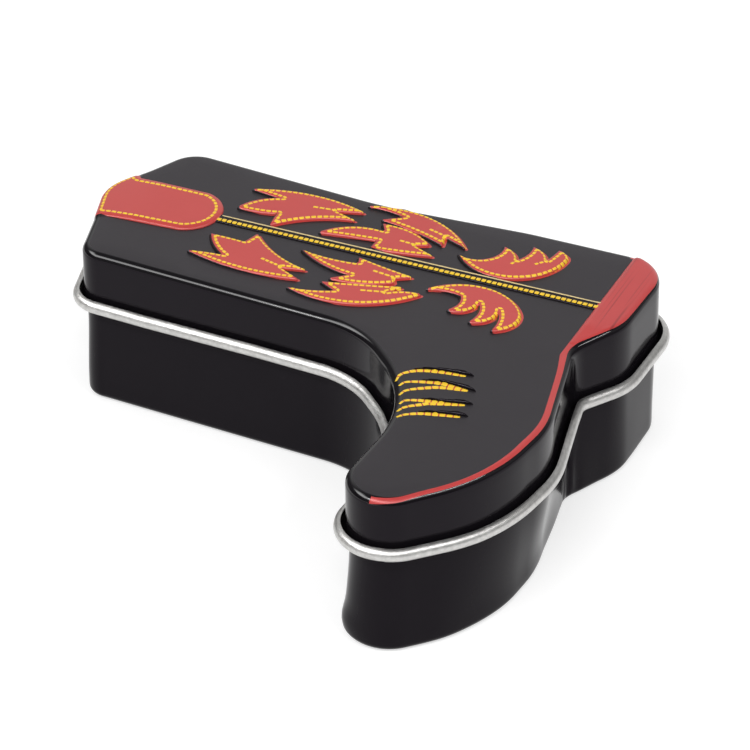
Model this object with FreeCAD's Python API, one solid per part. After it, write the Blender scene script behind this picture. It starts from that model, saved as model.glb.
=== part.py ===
import FreeCAD, Part
import math
import os

# A boot-shaped slip-lid mint tin: a drawn base, a drawn lid with an embossed panel and a curled edge, and the
# peppermint tablets inside. Millimetres. +X runs from the boot top to the sole, +Y from the toe to the back of the
# leg, +Z up. The origin is under the middle of the plan, on the surface that the tin stands on.

# Sheet and heights
SHEET = 0.25                # tinplate thickness
TIN_HEIGHT = 23.2           # underside of the floor to the upper face of the lid panel
LID_DEPTH = 8.1             # upper face of the lid panel down to the middle of the lid's curled edge
SEAT_GAP = 0.1              # top of the base to the underside of the lid panel
SLIP_GAP = 0.15             # side clearance of the lid on the base

# Rounded, curled and hemmed edges
LID_EDGE_RADIUS = 0.8       # outside round between lid panel and skirt
BASE_EDGE_RADIUS = 1.1      # outside round between floor and wall
LID_CURL_RADIUS = 0.8       # outward curl of the lid's edge, to the middle of the sheet
LID_CURL_TURN = 270.0       # how far the edge is curled round, in degrees
BASE_HEM_DEPTH = 1.6        # fold of the base's top edge down its inside
BASE_HEM_GAP = 0.1          # between the fold and the wall
EDGE_FLAT = 30.0            # the rounds' outsides are drawn as flats of this many degrees
CURL_FLAT = 45.0            # the same for the curl
HIDDEN_FLAT = 45.0          # the same for the rounds' insides

# Plan of the lid's skirt: corners in order round the boot as (x, y, radius), hollow corners with a negative radius
BOOT_TOP_FRONT = (-36.0, 4.9, 2.8)
INSTEP_UPPER = (7.4, 2.0, -15.7)
INSTEP_LOWER = (21.0, -10.5, -21.7)
TOE_TIP = (18.8, -44.0, 5.1)
SOLE_FRONT = (38.1, -23.2, 20.3)
SOLE_BALL = (39.2, -9.9, 12.3)
SOLE_WAIST = (34.6, 8.7, -8.7)
HEEL_BREAST = (39.4, 16.6, 2.8)
HEEL_BACK = (40.3, 34.5, 6.4)
HEEL_COUNTER = (19.0, 34.4, 40.3)
ANKLE = (-2.0, 32.8, -59.7)
BOOT_TOP_BACK = (-33.5, 35.4, 4.8)
BOOT_TOP_PEAK = (-40.4, 21.8, 6.8)

# Embossing of the lid panel
MOTIF_HEIGHT = 0.4          # flames and wings above the panel
PAD_HEIGHT = 0.4            # pull strap and heel block above the panel
WELT_HEIGHT = 0.25          # sole welt above the panel
RIB_HEIGHT = 0.25           # side seam and vamp creases above the panel
PANEL_MARGIN = 1.0          # pads stop this far inside the skirt
SEAM_Y = 20.0               # the side seam, which the motifs are mirrored about
SEAM_WIDTH = 1.3
SEAM_CLEARANCE = 0.4        # between the seam's ends and the pads
STRAP_WIDTH = 11.5
STRAP_END_X = -22.7         # middle of the pull strap's round end
STRAP_END_RISE = 4.3        # how far the round end stands out from the strap's straight sides
HEEL_LINE_X = 33.8          # front edge of the heel block
HEEL_FOOT_Y = 9.3           # lower end of the heel block
WELT_WIDTH = 1.5
WELT_TOE_X = 25.0           # where the welt ends at the toe
CREASE_WIDTH = 0.7

# Motifs above the seam, clockwise from the left tip: (x, distance from the seam, bow of the edge that follows)
FLAME_SHAFT = ((-21.5, 9.0, 1.5), (-4.7, 9.75, 0.0), (-8.4, 8.3, 0.0), (-4.8, 7.3, -1.0), (-14.9, 1.4, 0.0),
               (-15.5, 4.3, 0.2), (-21.0, 4.0, 0.6), (-17.0, 8.3, 0.1))
FLAME_INNER = ((-7.8, 2.6, 1.0), (0.2, 6.1, 0.0), (-0.9, 8.0, 0.8), (7.5, 5.5, 0.0), (5.7, 4.5, 0.0),
               (9.0, 3.0, 0.1), (0.3, 1.4, 0.0), (0.6, 3.3, -0.3))
FLAME_OUTER = ((-4.9, 11.7, 2.6), (12.1, 6.6, 0.3), (7.9, 8.2, 0.0), (9.0, 6.0, -0.2), (-1.4, 9.0, 0.0),
               (0.5, 10.5, -0.3))
WING = ((12.0, 5.0, -2.2), (16.9, 9.1, 0.9), (19.9, 6.1, -0.6), (20.6, 10.6, 1.0), (23.4, 7.1, -0.3),
        (24.3, 11.2, 0.8), (26.2, 6.0, 3.4))

# Vamp creases from the instep edge: start and end in plan, and how far each bows
CREASES = (((18.0, -6.2), (25.0, -2.2), 0.9),
           ((18.8, -8.4), (26.6, -5.9), 0.5),
           ((19.6, -10.2), (24.9, -6.4), 0.5),
           ((20.3, -12.0), (27.5, -9.2), 0.5),
           ((21.0, -13.8), (25.8, -9.9), 0.5),
           ((21.4, -15.6), (27.9, -12.4), 0.6))

# Peppermint tablets
TABLET_DIAMETER = 11.5
TABLET_THICKNESS = 5.0
TABLET_GAP = 0.3            # between tablets, and from the tablets to the wall
TABLET_ROW_X = 3.5          # a tablet of the first layer, which the rows start from
TABLET_ROW_Y = 16.0
HEAP_INSET = 2.0            # tablets of the second layer stay this much further from the wall


# Sizes that follow from the ones above
BASE_INSET = SHEET + SLIP_GAP
LID_CURL_Z = TIN_HEIGHT - LID_DEPTH
BASE_TOP_Z = TIN_HEIGHT - SHEET - SEAT_GAP
CORNERS = (BOOT_TOP_FRONT, INSTEP_UPPER, INSTEP_LOWER, TOE_TIP, SOLE_FRONT, SOLE_BALL, SOLE_WAIST, HEEL_BREAST,
           HEEL_BACK, HEEL_COUNTER, ANKLE, BOOT_TOP_BACK, BOOT_TOP_PEAK)
UP = FreeCAD.Vector(0, 0, 1)
TOUCH = 1e-6                # nearer than this counts as touching


def vec(x, y, z=0.0):
    return FreeCAD.Vector(x, y, z)


def right_of(direction):
    return vec(direction.y, -direction.x)


def moved_corner(before, corner, after, offset):
    """A corner of the plan with both its sides moved outwards: its place, radius and the two side directions."""
    here = vec(corner[0], corner[1])
    way_in = (here - vec(before[0], before[1])).normalize()
    way_out = (vec(after[0], after[1]) - here).normalize()
    normal_in, normal_out = right_of(way_in), right_of(way_out)
    place = here + (normal_in + normal_out) * (offset / (1.0 + normal_in.dot(normal_out)))
    return place, abs(corner[2] + offset), way_in, way_out


def outline(offset, z=0.0):
    """The boot's plan as a closed wire of lines and tangent arcs, moved outwards by offset."""
    rounds = []
    count = len(CORNERS)
    for i in range(count):
        place, radius, way_in, way_out = moved_corner(CORNERS[i - 1], CORNERS[i], CORNERS[(i + 1) % count], offset)
        half_turn = 0.5 * way_in.getAngle(way_out)
        reach = radius * math.tan(half_turn)
        to_middle = (way_out - way_in).normalize()
        middle = place + to_middle * (radius / math.cos(half_turn) - radius)
        rounds.append((place - way_in * reach, middle, place + way_out * reach))
    edges = []
    for i, (start, middle, end) in enumerate(rounds):
        edges.append(Part.Arc(start, middle, end).toShape())
        edges.append(Part.LineSegment(end, rounds[(i + 1) % count][0]).toShape())
    wire = Part.Wire(edges)
    wire.translate(UP * z)
    return wire


def slab(offset, z_low, z_high):
    """A plate with the boot's plan."""
    return Part.Face(outline(offset, z_low)).extrude(UP * (z_high - z_low))


def block(x_low, x_high, y_low, y_high, z_low, z_high):
    return Part.makeBox(x_high - x_low, y_high - y_low, z_high - z_low, vec(x_low, y_low, z_low))


def arc_points(centre, radius, start, end, flat):
    """Points of a sheet section, as (outward, height), on an arc drawn as short flats."""
    count = math.ceil(abs(end - start) / flat)
    angles = [math.radians(start + (end - start) * i / count) for i in range(count + 1)]
    return [(centre[0] + radius * math.cos(a), centre[1] + radius * math.sin(a)) for a in angles]


def swept_section(section):
    """Carry a closed sheet section, a list of (outward, height) points, round the boot.

    It is drawn along each straight side and turned round each corner.
    """
    faces = []
    for side in outline(0.0).OrderedEdges:
        start, end = side.valueAt(side.FirstParameter), side.valueAt(side.LastParameter)
        outward = right_of(side.tangentAt(side.FirstParameter))
        points = [start + outward * out + UP * height for out, height in section]
        for i, point in enumerate(points):
            edge = Part.LineSegment(points[i - 1], point).toShape()
            if isinstance(side.Curve, Part.Circle):
                turn = side.Curve.Axis.z * math.degrees(side.LastParameter - side.FirstParameter)
                faces.append(edge.revolve(side.Curve.Center, UP, turn))
            else:
                faces.append(edge.extrude(end - start))
    shell = Part.makeCompound(faces)
    shell.sewShape()
    return Part.Solid(shell.Shells[0])


def lid_skirt():
    """Edge round, skirt and outward curl of the lid."""
    edge = (-LID_EDGE_RADIUS, TIN_HEIGHT - LID_EDGE_RADIUS)
    curl_in, curl_out = LID_CURL_RADIUS - 0.5 * SHEET, LID_CURL_RADIUS + 0.5 * SHEET
    curl = (curl_in, LID_CURL_Z)
    curl_end = 180.0 + LID_CURL_TURN
    return swept_section(
        arc_points(edge, LID_EDGE_RADIUS, 90.0, 0.0, EDGE_FLAT)
        + arc_points(curl, curl_in, 180.0, curl_end, CURL_FLAT)
        + arc_points(curl, curl_out, curl_end, 180.0, CURL_FLAT)
        + arc_points(edge, LID_EDGE_RADIUS - SHEET, 0.0, 90.0, HIDDEN_FLAT))


def base_wall():
    """Bottom round, wall and inward hem of the base."""
    edge = (-BASE_INSET - BASE_EDGE_RADIUS, BASE_EDGE_RADIUS)
    fold_out = -BASE_INSET - SHEET - BASE_HEM_GAP
    fold_in = fold_out - SHEET
    hem_z = BASE_TOP_Z - BASE_HEM_DEPTH
    crown_z = BASE_TOP_Z - SHEET
    return swept_section(
        arc_points(edge, BASE_EDGE_RADIUS, 270.0, 360.0, EDGE_FLAT)
        + [(-BASE_INSET, crown_z), (-BASE_INSET - SHEET, BASE_TOP_Z), (fold_in, BASE_TOP_Z), (fold_in, hem_z)]
        + [(fold_out, hem_z), (fold_out, crown_z), (-BASE_INSET - SHEET, crown_z)]
        + arc_points(edge, BASE_EDGE_RADIUS - SHEET, 360.0, 270.0, HIDDEN_FLAT))


def bowed_edge(points, i):
    """Edge i of a motif as start, end, middle of its bow and the directions in which it leaves and arrives."""
    start, end = vec(*points[i][:2]), vec(*points[(i + 1) % len(points)][:2])
    chord = end - start
    bow = points[i][2]
    middle = (start + end) * 0.5 - right_of(chord).normalize() * bow
    swing = 2.0 * math.degrees(math.atan2(2.0 * bow, chord.Length))
    leaving = FreeCAD.Rotation(UP, swing).multVec(chord).normalize()
    arriving = FreeCAD.Rotation(UP, -swing).multVec(chord).normalize()
    return start, end, middle, leaving, arriving


def drawn_in(points, distance):
    """A motif's corner list with every edge moved inwards."""
    edges = [bowed_edge(points, i) for i in range(len(points))]
    corners = []
    for i, (start, _, _, leaving, _) in enumerate(edges):
        normal_in, normal_out = right_of(edges[i - 1][4]), right_of(leaving)
        corners.append(start + (normal_in + normal_out) * (distance / (1.0 + normal_in.dot(normal_out))))
    moved = []
    for i, (start, end, middle, _, _) in enumerate(edges):
        here, there = corners[i], corners[(i + 1) % len(corners)]
        crown = middle + right_of(end - start).normalize() * distance
        bow = -right_of(there - here).normalize().dot(crown - (here + there) * 0.5)
        moved.append((here.x, here.y, bow if points[i][2] else 0.0))
    return moved


def motif_face(points, side, shrink):
    """A motif's plan, above the seam (side 1) or mirrored below it (side -1)."""
    edges = []
    corners = drawn_in(points, shrink)
    for i, (_, _, bow) in enumerate(corners):
        start, end, middle, _, _ = (vec(p.x, SEAM_Y + side * p.y) for p in bowed_edge(corners, i))
        curve = Part.Arc(start, middle, end) if bow else Part.LineSegment(start, end)
        edges.append(curve.toShape())
    return Part.Face(Part.Wire(edges))


def strap_face(shrink):
    """The pull strap: straight sides, a round end, and the boot top's own edge at the other end."""
    half = 0.5 * STRAP_WIDTH - shrink
    tip_x = STRAP_END_X - shrink
    shoulder_x = STRAP_END_X - STRAP_END_RISE
    far_x = BOOT_TOP_PEAK[0]
    low, high = SEAM_Y - half, SEAM_Y + half
    wire = Part.Wire([
        Part.LineSegment(vec(far_x, low), vec(shoulder_x, low)).toShape(),
        Part.Arc(vec(shoulder_x, low), vec(tip_x, SEAM_Y), vec(shoulder_x, high)).toShape(),
        Part.LineSegment(vec(shoulder_x, high), vec(far_x, high)).toShape(),
        Part.LineSegment(vec(far_x, high), vec(far_x, low)).toShape()])
    return Part.Face(wire).common(Part.Face(outline(-PANEL_MARGIN - shrink))).Faces[0]


def heel_face(shrink):
    """The heel block, from the heel line to the edge of the panel."""
    corner = vec(HEEL_LINE_X + shrink, HEEL_FOOT_Y + shrink)
    area = Part.makePlane(HEEL_BACK[0] - corner.x, HEEL_BACK[1] - corner.y, corner)
    return area.common(Part.Face(outline(-PANEL_MARGIN - shrink))).Faces[0]


def welt_face(shrink):
    """The welt along the sole, from the heel block to the toe."""
    corner = vec(WELT_TOE_X + shrink, TOE_TIP[1])
    area = Part.makePlane(HEEL_BACK[0] - corner.x, HEEL_FOOT_Y - shrink - corner.y, corner)
    band = Part.Face(outline(-PANEL_MARGIN - shrink)).cut(Part.Face(outline(-PANEL_MARGIN - WELT_WIDTH + shrink)))
    return area.common(band).Faces[0]


def raised(face, height):
    """What stands above the panel over a plan."""
    top = face.copy()
    top.translate(UP * (TIN_HEIGHT - 0.5 * SHEET))
    return top.extrude(UP * (height + 0.5 * SHEET))


def hollow(face, height):
    """What is open below the panel under a plan, up to the sheet below its raised top."""
    below = face.copy()
    below.translate(UP * (TIN_HEIGHT - 2.0 * SHEET))
    return below.extrude(UP * (height + SHEET))


def crease_rib(start, end, bow):
    """A raised vamp crease: a slim crescent, pointed at both ends."""
    first, last = vec(*start), vec(*end)
    middle = (first + last) * 0.5
    side = right_of((last - first).normalize())
    upper = Part.Arc(first, middle - side * (bow + 0.5 * CREASE_WIDTH), last)
    lower = Part.Arc(last, middle - side * (bow - 0.5 * CREASE_WIDTH), first)
    return raised(Part.Face(Part.Wire([upper.toShape(), lower.toShape()])), RIB_HEIGHT)


def seam_rib():
    """The side seam, from the pull strap to the heel block."""
    x_low, x_high = STRAP_END_X + SEAM_CLEARANCE, HEEL_LINE_X - SEAM_CLEARANCE
    half = 0.5 * SEAM_WIDTH
    return block(x_low, x_high, SEAM_Y - half, SEAM_Y + half, TIN_HEIGHT - 0.5 * SHEET, TIN_HEIGHT + RIB_HEIGHT)


def make_lid():
    panel = slab(-LID_EDGE_RADIUS, TIN_HEIGHT - SHEET, TIN_HEIGHT)
    lid = lid_skirt().fuse(panel)
    tops, hollows = [seam_rib()], []
    for shrink, made, solid in ((0.0, tops, raised), (SHEET, hollows, hollow)):
        for points in (FLAME_SHAFT, FLAME_INNER, FLAME_OUTER, WING):
            made += [solid(motif_face(points, side, shrink), MOTIF_HEIGHT) for side in (1, -1)]
        made += [solid(strap_face(shrink), PAD_HEIGHT), solid(heel_face(shrink), PAD_HEIGHT)]
        made.append(solid(welt_face(shrink), WELT_HEIGHT))
    tops += [crease_rib(*crease) for crease in CREASES]
    lid = lid.multiFuse(tops).cut(Part.makeCompound(hollows))
    return lid.removeSplitter()


def make_base():
    floor = slab(-BASE_INSET - BASE_EDGE_RADIUS, 0.0, SHEET)
    return base_wall().fuse(floor).removeSplitter()


def make_tablet(x, y, z):
    """A flat-faced round tablet."""
    return Part.makeCylinder(0.5 * TABLET_DIAMETER, TABLET_THICKNESS, vec(x, y, z))


def lattice(origin_x, origin_y, pitch, wall_distance):
    """Points of a hexagonal lattice inside the base, at least wall_distance from its wall."""
    region = Part.Face(outline(-BASE_INSET - SHEET))
    box = region.BoundBox
    row_step = pitch * math.sqrt(0.75)
    rows = math.ceil(box.YLength / row_step)
    columns = math.ceil(box.XLength / pitch)
    points = []
    for row in range(-rows, rows + 1):
        for column in range(-columns, columns + 1):
            point = vec(origin_x + (column + 0.5 * (row % 2)) * pitch, origin_y + row * row_step)
            inside = region.isInside(point, TOUCH, True)
            if inside and region.OuterWire.distToShape(Part.Vertex(point))[0] >= wall_distance:
                points.append(point)
    return points


def make_tablets():
    """Two layers of tablets: one over the floor, and a heap on top that bridges the gaps of the first."""
    pitch = TABLET_DIAMETER + TABLET_GAP
    clear_of_wall = 0.5 * TABLET_DIAMETER + TABLET_GAP
    first = lattice(TABLET_ROW_X, TABLET_ROW_Y, pitch, clear_of_wall)
    second = lattice(TABLET_ROW_X + 0.5 * pitch, TABLET_ROW_Y + 0.5 * pitch / math.sqrt(3.0), pitch,
                     clear_of_wall + HEAP_INSET)
    tablets = [make_tablet(p.x, p.y, SHEET) for p in first]
    tablets += [make_tablet(p.x, p.y, SHEET + TABLET_THICKNESS) for p in second]
    return Part.makeCompound(tablets)


def main():
    os.makedirs("parts", exist_ok=True)
    plan = outline(0.0).BoundBox
    to_origin = vec(-0.5 * (plan.XMin + plan.XMax), -0.5 * (plan.YMin + plan.YMax))
    nodes = {"base": make_base(), "lid": make_lid(), "peppermints": make_tablets()}
    for name, shape in nodes.items():
        shape.translate(to_origin)
        shape.exportStep(os.path.join("parts", name + ".step"))
        box = shape.BoundBox
        print(name, "solids", len(shape.Solids), "valid", shape.isValid(), "volume %.1f" % shape.Volume,
              "x %.2f..%.2f y %.2f..%.2f z %.2f..%.2f" % (box.XMin, box.XMax, box.YMin, box.YMax, box.ZMin, box.ZMax))


main()
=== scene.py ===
"""Looks of the boot-shaped mint tin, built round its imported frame.

Sizes are in millimetres until a piece is made. +X runs from the boot top to the sole, +Y from the toe to
the back of the leg, and +Z up.
"""

import logging
import math
from dataclasses import dataclass, field
from enum import Enum, IntEnum
from typing import Any, Callable, Iterable, Sequence

import bmesh
import bpy
import numpy as np
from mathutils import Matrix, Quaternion, Vector
from mathutils.geometry import delaunay_2d_cdt

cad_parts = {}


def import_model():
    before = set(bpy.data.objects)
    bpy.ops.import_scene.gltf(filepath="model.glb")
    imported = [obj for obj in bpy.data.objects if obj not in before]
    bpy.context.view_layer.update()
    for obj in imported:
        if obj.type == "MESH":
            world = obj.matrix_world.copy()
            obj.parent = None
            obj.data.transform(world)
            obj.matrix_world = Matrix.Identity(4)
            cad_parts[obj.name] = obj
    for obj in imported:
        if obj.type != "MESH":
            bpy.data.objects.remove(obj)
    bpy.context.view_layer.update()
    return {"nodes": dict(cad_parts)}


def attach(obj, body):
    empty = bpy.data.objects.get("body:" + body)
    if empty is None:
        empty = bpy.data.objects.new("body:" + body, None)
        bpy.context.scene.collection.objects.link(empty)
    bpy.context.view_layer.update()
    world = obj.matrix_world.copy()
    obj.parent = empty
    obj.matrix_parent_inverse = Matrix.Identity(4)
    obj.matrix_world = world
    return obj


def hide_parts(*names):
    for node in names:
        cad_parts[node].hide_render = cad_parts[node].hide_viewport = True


LOG = logging.getLogger("mint_tin")
MM = 0.001

Colour = tuple[float, float, float, float]
Place = tuple[float, float]
Triple = tuple[float, float, float]
Knots = tuple[tuple[float, ...], tuple[float, ...]]
Pair = tuple[np.ndarray, np.ndarray]
Triangles = list[list[int]]
Socket = bpy.types.NodeSocket


class Body(Enum):
    """Bodies of the frame."""

    BASE = "base"
    LID = "lid"


class Slot(Enum):
    """Material slots of the record."""

    BASE = "base_tin"
    LID = "lid_tin"
    MINTS = "peppermint"


class Coat(IntEnum):
    """Finishes of the pieces."""

    SATIN_BLACK = 0
    GLOSS_BLACK = 1
    RED_ENAMEL = 2
    HEEL_ENAMEL = 3
    BARE_TIN = 4
    YELLOW_THREAD = 5
    PALE_GOLD = 6
    PEPPERMINT = 7
    HIGHLIGHT_EDGE_BLACK = 8
    SHADED_BASE_BLACK = 9


Finishes = dict[Coat, bpy.types.Material]


# Plane geometry


def unit(ways: np.ndarray) -> np.ndarray:
    """Directions brought to length one."""
    return ways / np.linalg.norm(ways, axis=-1, keepdims=True)


def left_of(ways: np.ndarray) -> np.ndarray:
    """Directions turned a quarter to the left."""
    return np.stack([-ways[..., 1], ways[..., 0]], axis=-1)


def turned(way: np.ndarray, angle: float) -> np.ndarray:
    """A direction turned to the left by an angle in radians."""
    cosine, sine = math.cos(angle), math.sin(angle)
    return np.array([cosine * way[0] - sine * way[1], sine * way[0] + cosine * way[1]])


def cross(first: np.ndarray, second: np.ndarray) -> float:
    """Positive where the second direction lies to the left of the first."""
    return float(first[0] * second[1] - first[1] * second[0])


def half_sine(way_in: np.ndarray, way_out: np.ndarray) -> float:
    """Sine of half the angle of a corner, from the direction into it and the one out of it."""
    return math.sqrt(max(0.0, 0.5 * (1.0 + float(way_in @ way_out))))


def eased(share: np.ndarray) -> np.ndarray:
    """Shares from nought to one that start and end gently."""
    return share ** 2 * (3.0 - 2.0 * share)


def fall_off(points: np.ndarray, place: Place, reach: float) -> np.ndarray:
    """One for points at a place, falling off to nought round it."""
    apart = np.linalg.norm(points - np.array(place), axis=1)
    return np.exp(-(apart / reach) ** 2)


def bowed(start: Place, end: Place, bow: float, step: float) -> np.ndarray:
    """Draws an arc, or a straight line where the bow is nought.

    Args:
        start: First point, which is part of the result.
        end: Last point, which isn't.
        bow: How far the middle stands out to the left of the line from start to end.
        step: Longest distance between points.

    Returns:
        Points along the arc, as rows of x and y.
    """
    first, last = np.array(start, float), np.array(end, float)
    chord = last - first
    length = float(np.linalg.norm(chord))
    count = max(2, math.ceil(length / step))
    shares = np.arange(count) / count
    if not bow:
        return first + shares[:, None] * chord
    half = 2.0 * math.atan2(2.0 * bow, length)
    radius = 0.5 * length / math.sin(half)
    angles = half - 2.0 * half * shares
    along = 0.5 * length - radius * np.sin(angles)
    out = radius * (np.cos(angles) - math.cos(half))
    way = chord / length
    return first + along[:, None] * way + out[:, None] * left_of(way)


def smooth_line(places: Sequence[Place], step: float) -> np.ndarray:
    """Draws a smooth line through a few places.

    Args:
        places: Where the line goes through, from its start to its end.
        step: Longest distance between points.

    Returns:
        Points along the line, as rows of x and y.
    """
    knots = np.array(places, float)
    padded = np.vstack([2.0 * knots[0] - knots[1], knots, 2.0 * knots[-1] - knots[-2]])
    points = []
    for before, here, there, after in zip(padded, padded[1:], padded[2:], padded[3:]):
        count = max(2, math.ceil(float(np.linalg.norm(there - here)) / step))
        t = (np.arange(count) / count)[:, None]
        leaving, arriving = 0.5 * (there - before), 0.5 * (after - here)
        bend = 3.0 * (there - here) - 2.0 * leaving - arriving
        twist = 2.0 * (here - there) + leaving + arriving
        points.append(here + t * (leaving + t * (bend + t * twist)))
    return np.vstack([*points, knots[-1:]])


@dataclass(frozen=True)
class Chain:
    """A run of points in plan, open or closed."""

    points: np.ndarray
    closed: bool = False

    def ends(self) -> np.ndarray:
        """The points, with the first one again at the end where the chain is closed."""
        return np.vstack([self.points, self.points[:1]]) if self.closed else self.points

    def runs(self) -> np.ndarray:
        """Distance along the chain to each point of ends()."""
        return np.concatenate([[0.0], np.cumsum(np.linalg.norm(np.diff(self.ends(), axis=0), axis=1))])

    def at(self, run: np.ndarray) -> np.ndarray:
        """Points at these distances along the chain."""
        ends, runs = self.ends(), self.runs()
        return np.column_stack([np.interp(run, runs, ends[:, axis]) for axis in (0, 1)])

    def inside(self, rim: "ClosedCurve") -> list["Chain"]:
        """The parts of the chain inside an outline."""
        kept = rim.contains(self.points)
        return runs_of(self.points, kept) if self.closed else [Chain(self.points[kept])]


def runs_of(points: np.ndarray, kept: np.ndarray) -> list[Chain]:
    """Takes the kept points out of a closed line.

    Args:
        points: Points of the line.
        kept: Which of them are kept.

    Returns:
        One closed chain where all are kept, or else an open one for each run of them.
    """
    if kept.all():
        return [Chain(points, True)]
    chains, current = [], []
    for row in np.roll(np.arange(len(points)), -int(np.argmin(kept))):
        if kept[row]:
            current.append(points[row])
        elif current:
            chains.append(Chain(np.array(current)))
            current = []
    return chains + ([Chain(np.array(current))] if current else [])


class ClosedCurve:
    """A closed outline in plan, kept counter-clockwise.

    A line beside it has points on a fan round a corner that it passes on the outside, and none at a corner
    sharper than a hairpin. It ends where it comes nearer to the outline than the spare share of its
    distance.
    """

    CHUNK = 2048
    FAN_STEP = math.radians(20.0)
    HAIRPIN = -0.99
    SPARE = 0.97
    TINY = 1e-12

    def __init__(self, points: np.ndarray) -> None:
        """Puts the corners in counter-clockwise order.

        Args:
            points: Corners in order, either way round.
        """
        after = np.roll(points, -1, 0)
        area = np.sum(points[:, 0] * after[:, 1] - points[:, 1] * after[:, 0])
        self.points = points if area > 0 else points[::-1]
        self.low, self.high = points.min(0), points.max(0)

    def moved(self, shift: Place) -> "ClosedCurve":
        """The same outline somewhere else."""
        return ClosedCurve(self.points + np.array(shift))

    def contains(self, points: np.ndarray) -> np.ndarray:
        """Finds the points that lie inside.

        Args:
            points: Places in plan.

        Returns:
            True or false for each of them.
        """
        found = np.zeros(len(points), bool)
        close = np.flatnonzero(((points >= self.low) & (points <= self.high)).all(1))
        after = np.roll(self.points, -1, 0)
        (x1, y1), (x2, y2) = self.points.T, after.T
        slope = (x2 - x1) / np.where(y1 == y2, 1.0, y2 - y1)
        for start in range(0, len(close), self.CHUNK):
            rows = close[start:start + self.CHUNK]
            x, y = points[rows, :1], points[rows, 1:]
            crossed = ((y1 > y) != (y2 > y)) & (x < x1 + (y - y1) * slope)
            found[rows] = crossed.sum(1) % 2 == 1
        return found

    def nearest(self, points: np.ndarray) -> np.ndarray:
        """Finds the nearest points of the outline.

        Args:
            points: Places in plan.

        Returns:
            The point of the outline that is nearest to each of them.
        """
        sides = np.roll(self.points, -1, 0) - self.points
        squares = np.maximum((sides ** 2).sum(1), self.TINY)
        found = np.zeros((len(points), 2))
        for start in range(0, len(points), self.CHUNK):
            some = points[start:start + self.CHUNK]
            share = np.clip(((some[:, None] - self.points) * sides).sum(2) / squares, 0.0, 1.0)
            places = self.points + share[..., None] * sides
            closest = np.linalg.norm(some[:, None] - places, axis=2).argmin(1)
            found[start:start + self.CHUNK] = places[np.arange(len(some)), closest]
        return found

    def clearance(self, points: np.ndarray) -> np.ndarray:
        """Distance of each point from the outline."""
        return np.linalg.norm(points - self.nearest(points), axis=1)

    def inset(self, distance: float) -> list[Chain]:
        """Draws a line beside the outline.

        Args:
            distance: How far inside the outline it runs, or outside where this is negative.

        Returns:
            The line, in as many chains as it has parts.
        """
        leaving = left_of(unit(np.roll(self.points, -1, 0) - self.points))
        found = []
        for here, before, after in zip(self.points, np.roll(leaving, 1, 0), leaving):
            closeness = float(before @ after)
            turn = math.atan2(cross(before, after), closeness)
            if turn * distance < 0.0:
                count = max(1, math.ceil(abs(turn) / self.FAN_STEP))
                found += [here + distance * turned(before, turn * k / count) for k in range(count + 1)]
            elif closeness > self.HAIRPIN:
                found.append(here + (before + after) * distance / (1.0 + closeness))
        points = np.array(found)
        return runs_of(points, self.clearance(points) >= self.SPARE * abs(distance))


def polygon(corners: Sequence[Place], step: float) -> ClosedCurve:
    """A closed outline with straight sides and points at most a step apart."""
    sides = [bowed(here, there, 0.0, step) for here, there in zip(corners, [*corners[1:], corners[0]])]
    return ClosedCurve(np.vstack(sides))


# Plan of the boot


@dataclass(frozen=True)
class Outline:
    """Stations round the boot: points on the lid's skirt and the outward direction at each."""

    points: np.ndarray
    outward: np.ndarray

    def moved(self, offset: float | np.ndarray) -> np.ndarray:
        """The stations moved outwards, all alike or each by its own offset."""
        return self.points + np.broadcast_to(offset, len(self.points))[:, None] * self.outward

    def nearest(self, place: Place, offset: float) -> int:
        """The station that, moved outwards by offset, is nearest to a place."""
        return int(np.argmin(np.linalg.norm(self.moved(offset) - np.array(place), axis=1)))


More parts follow.
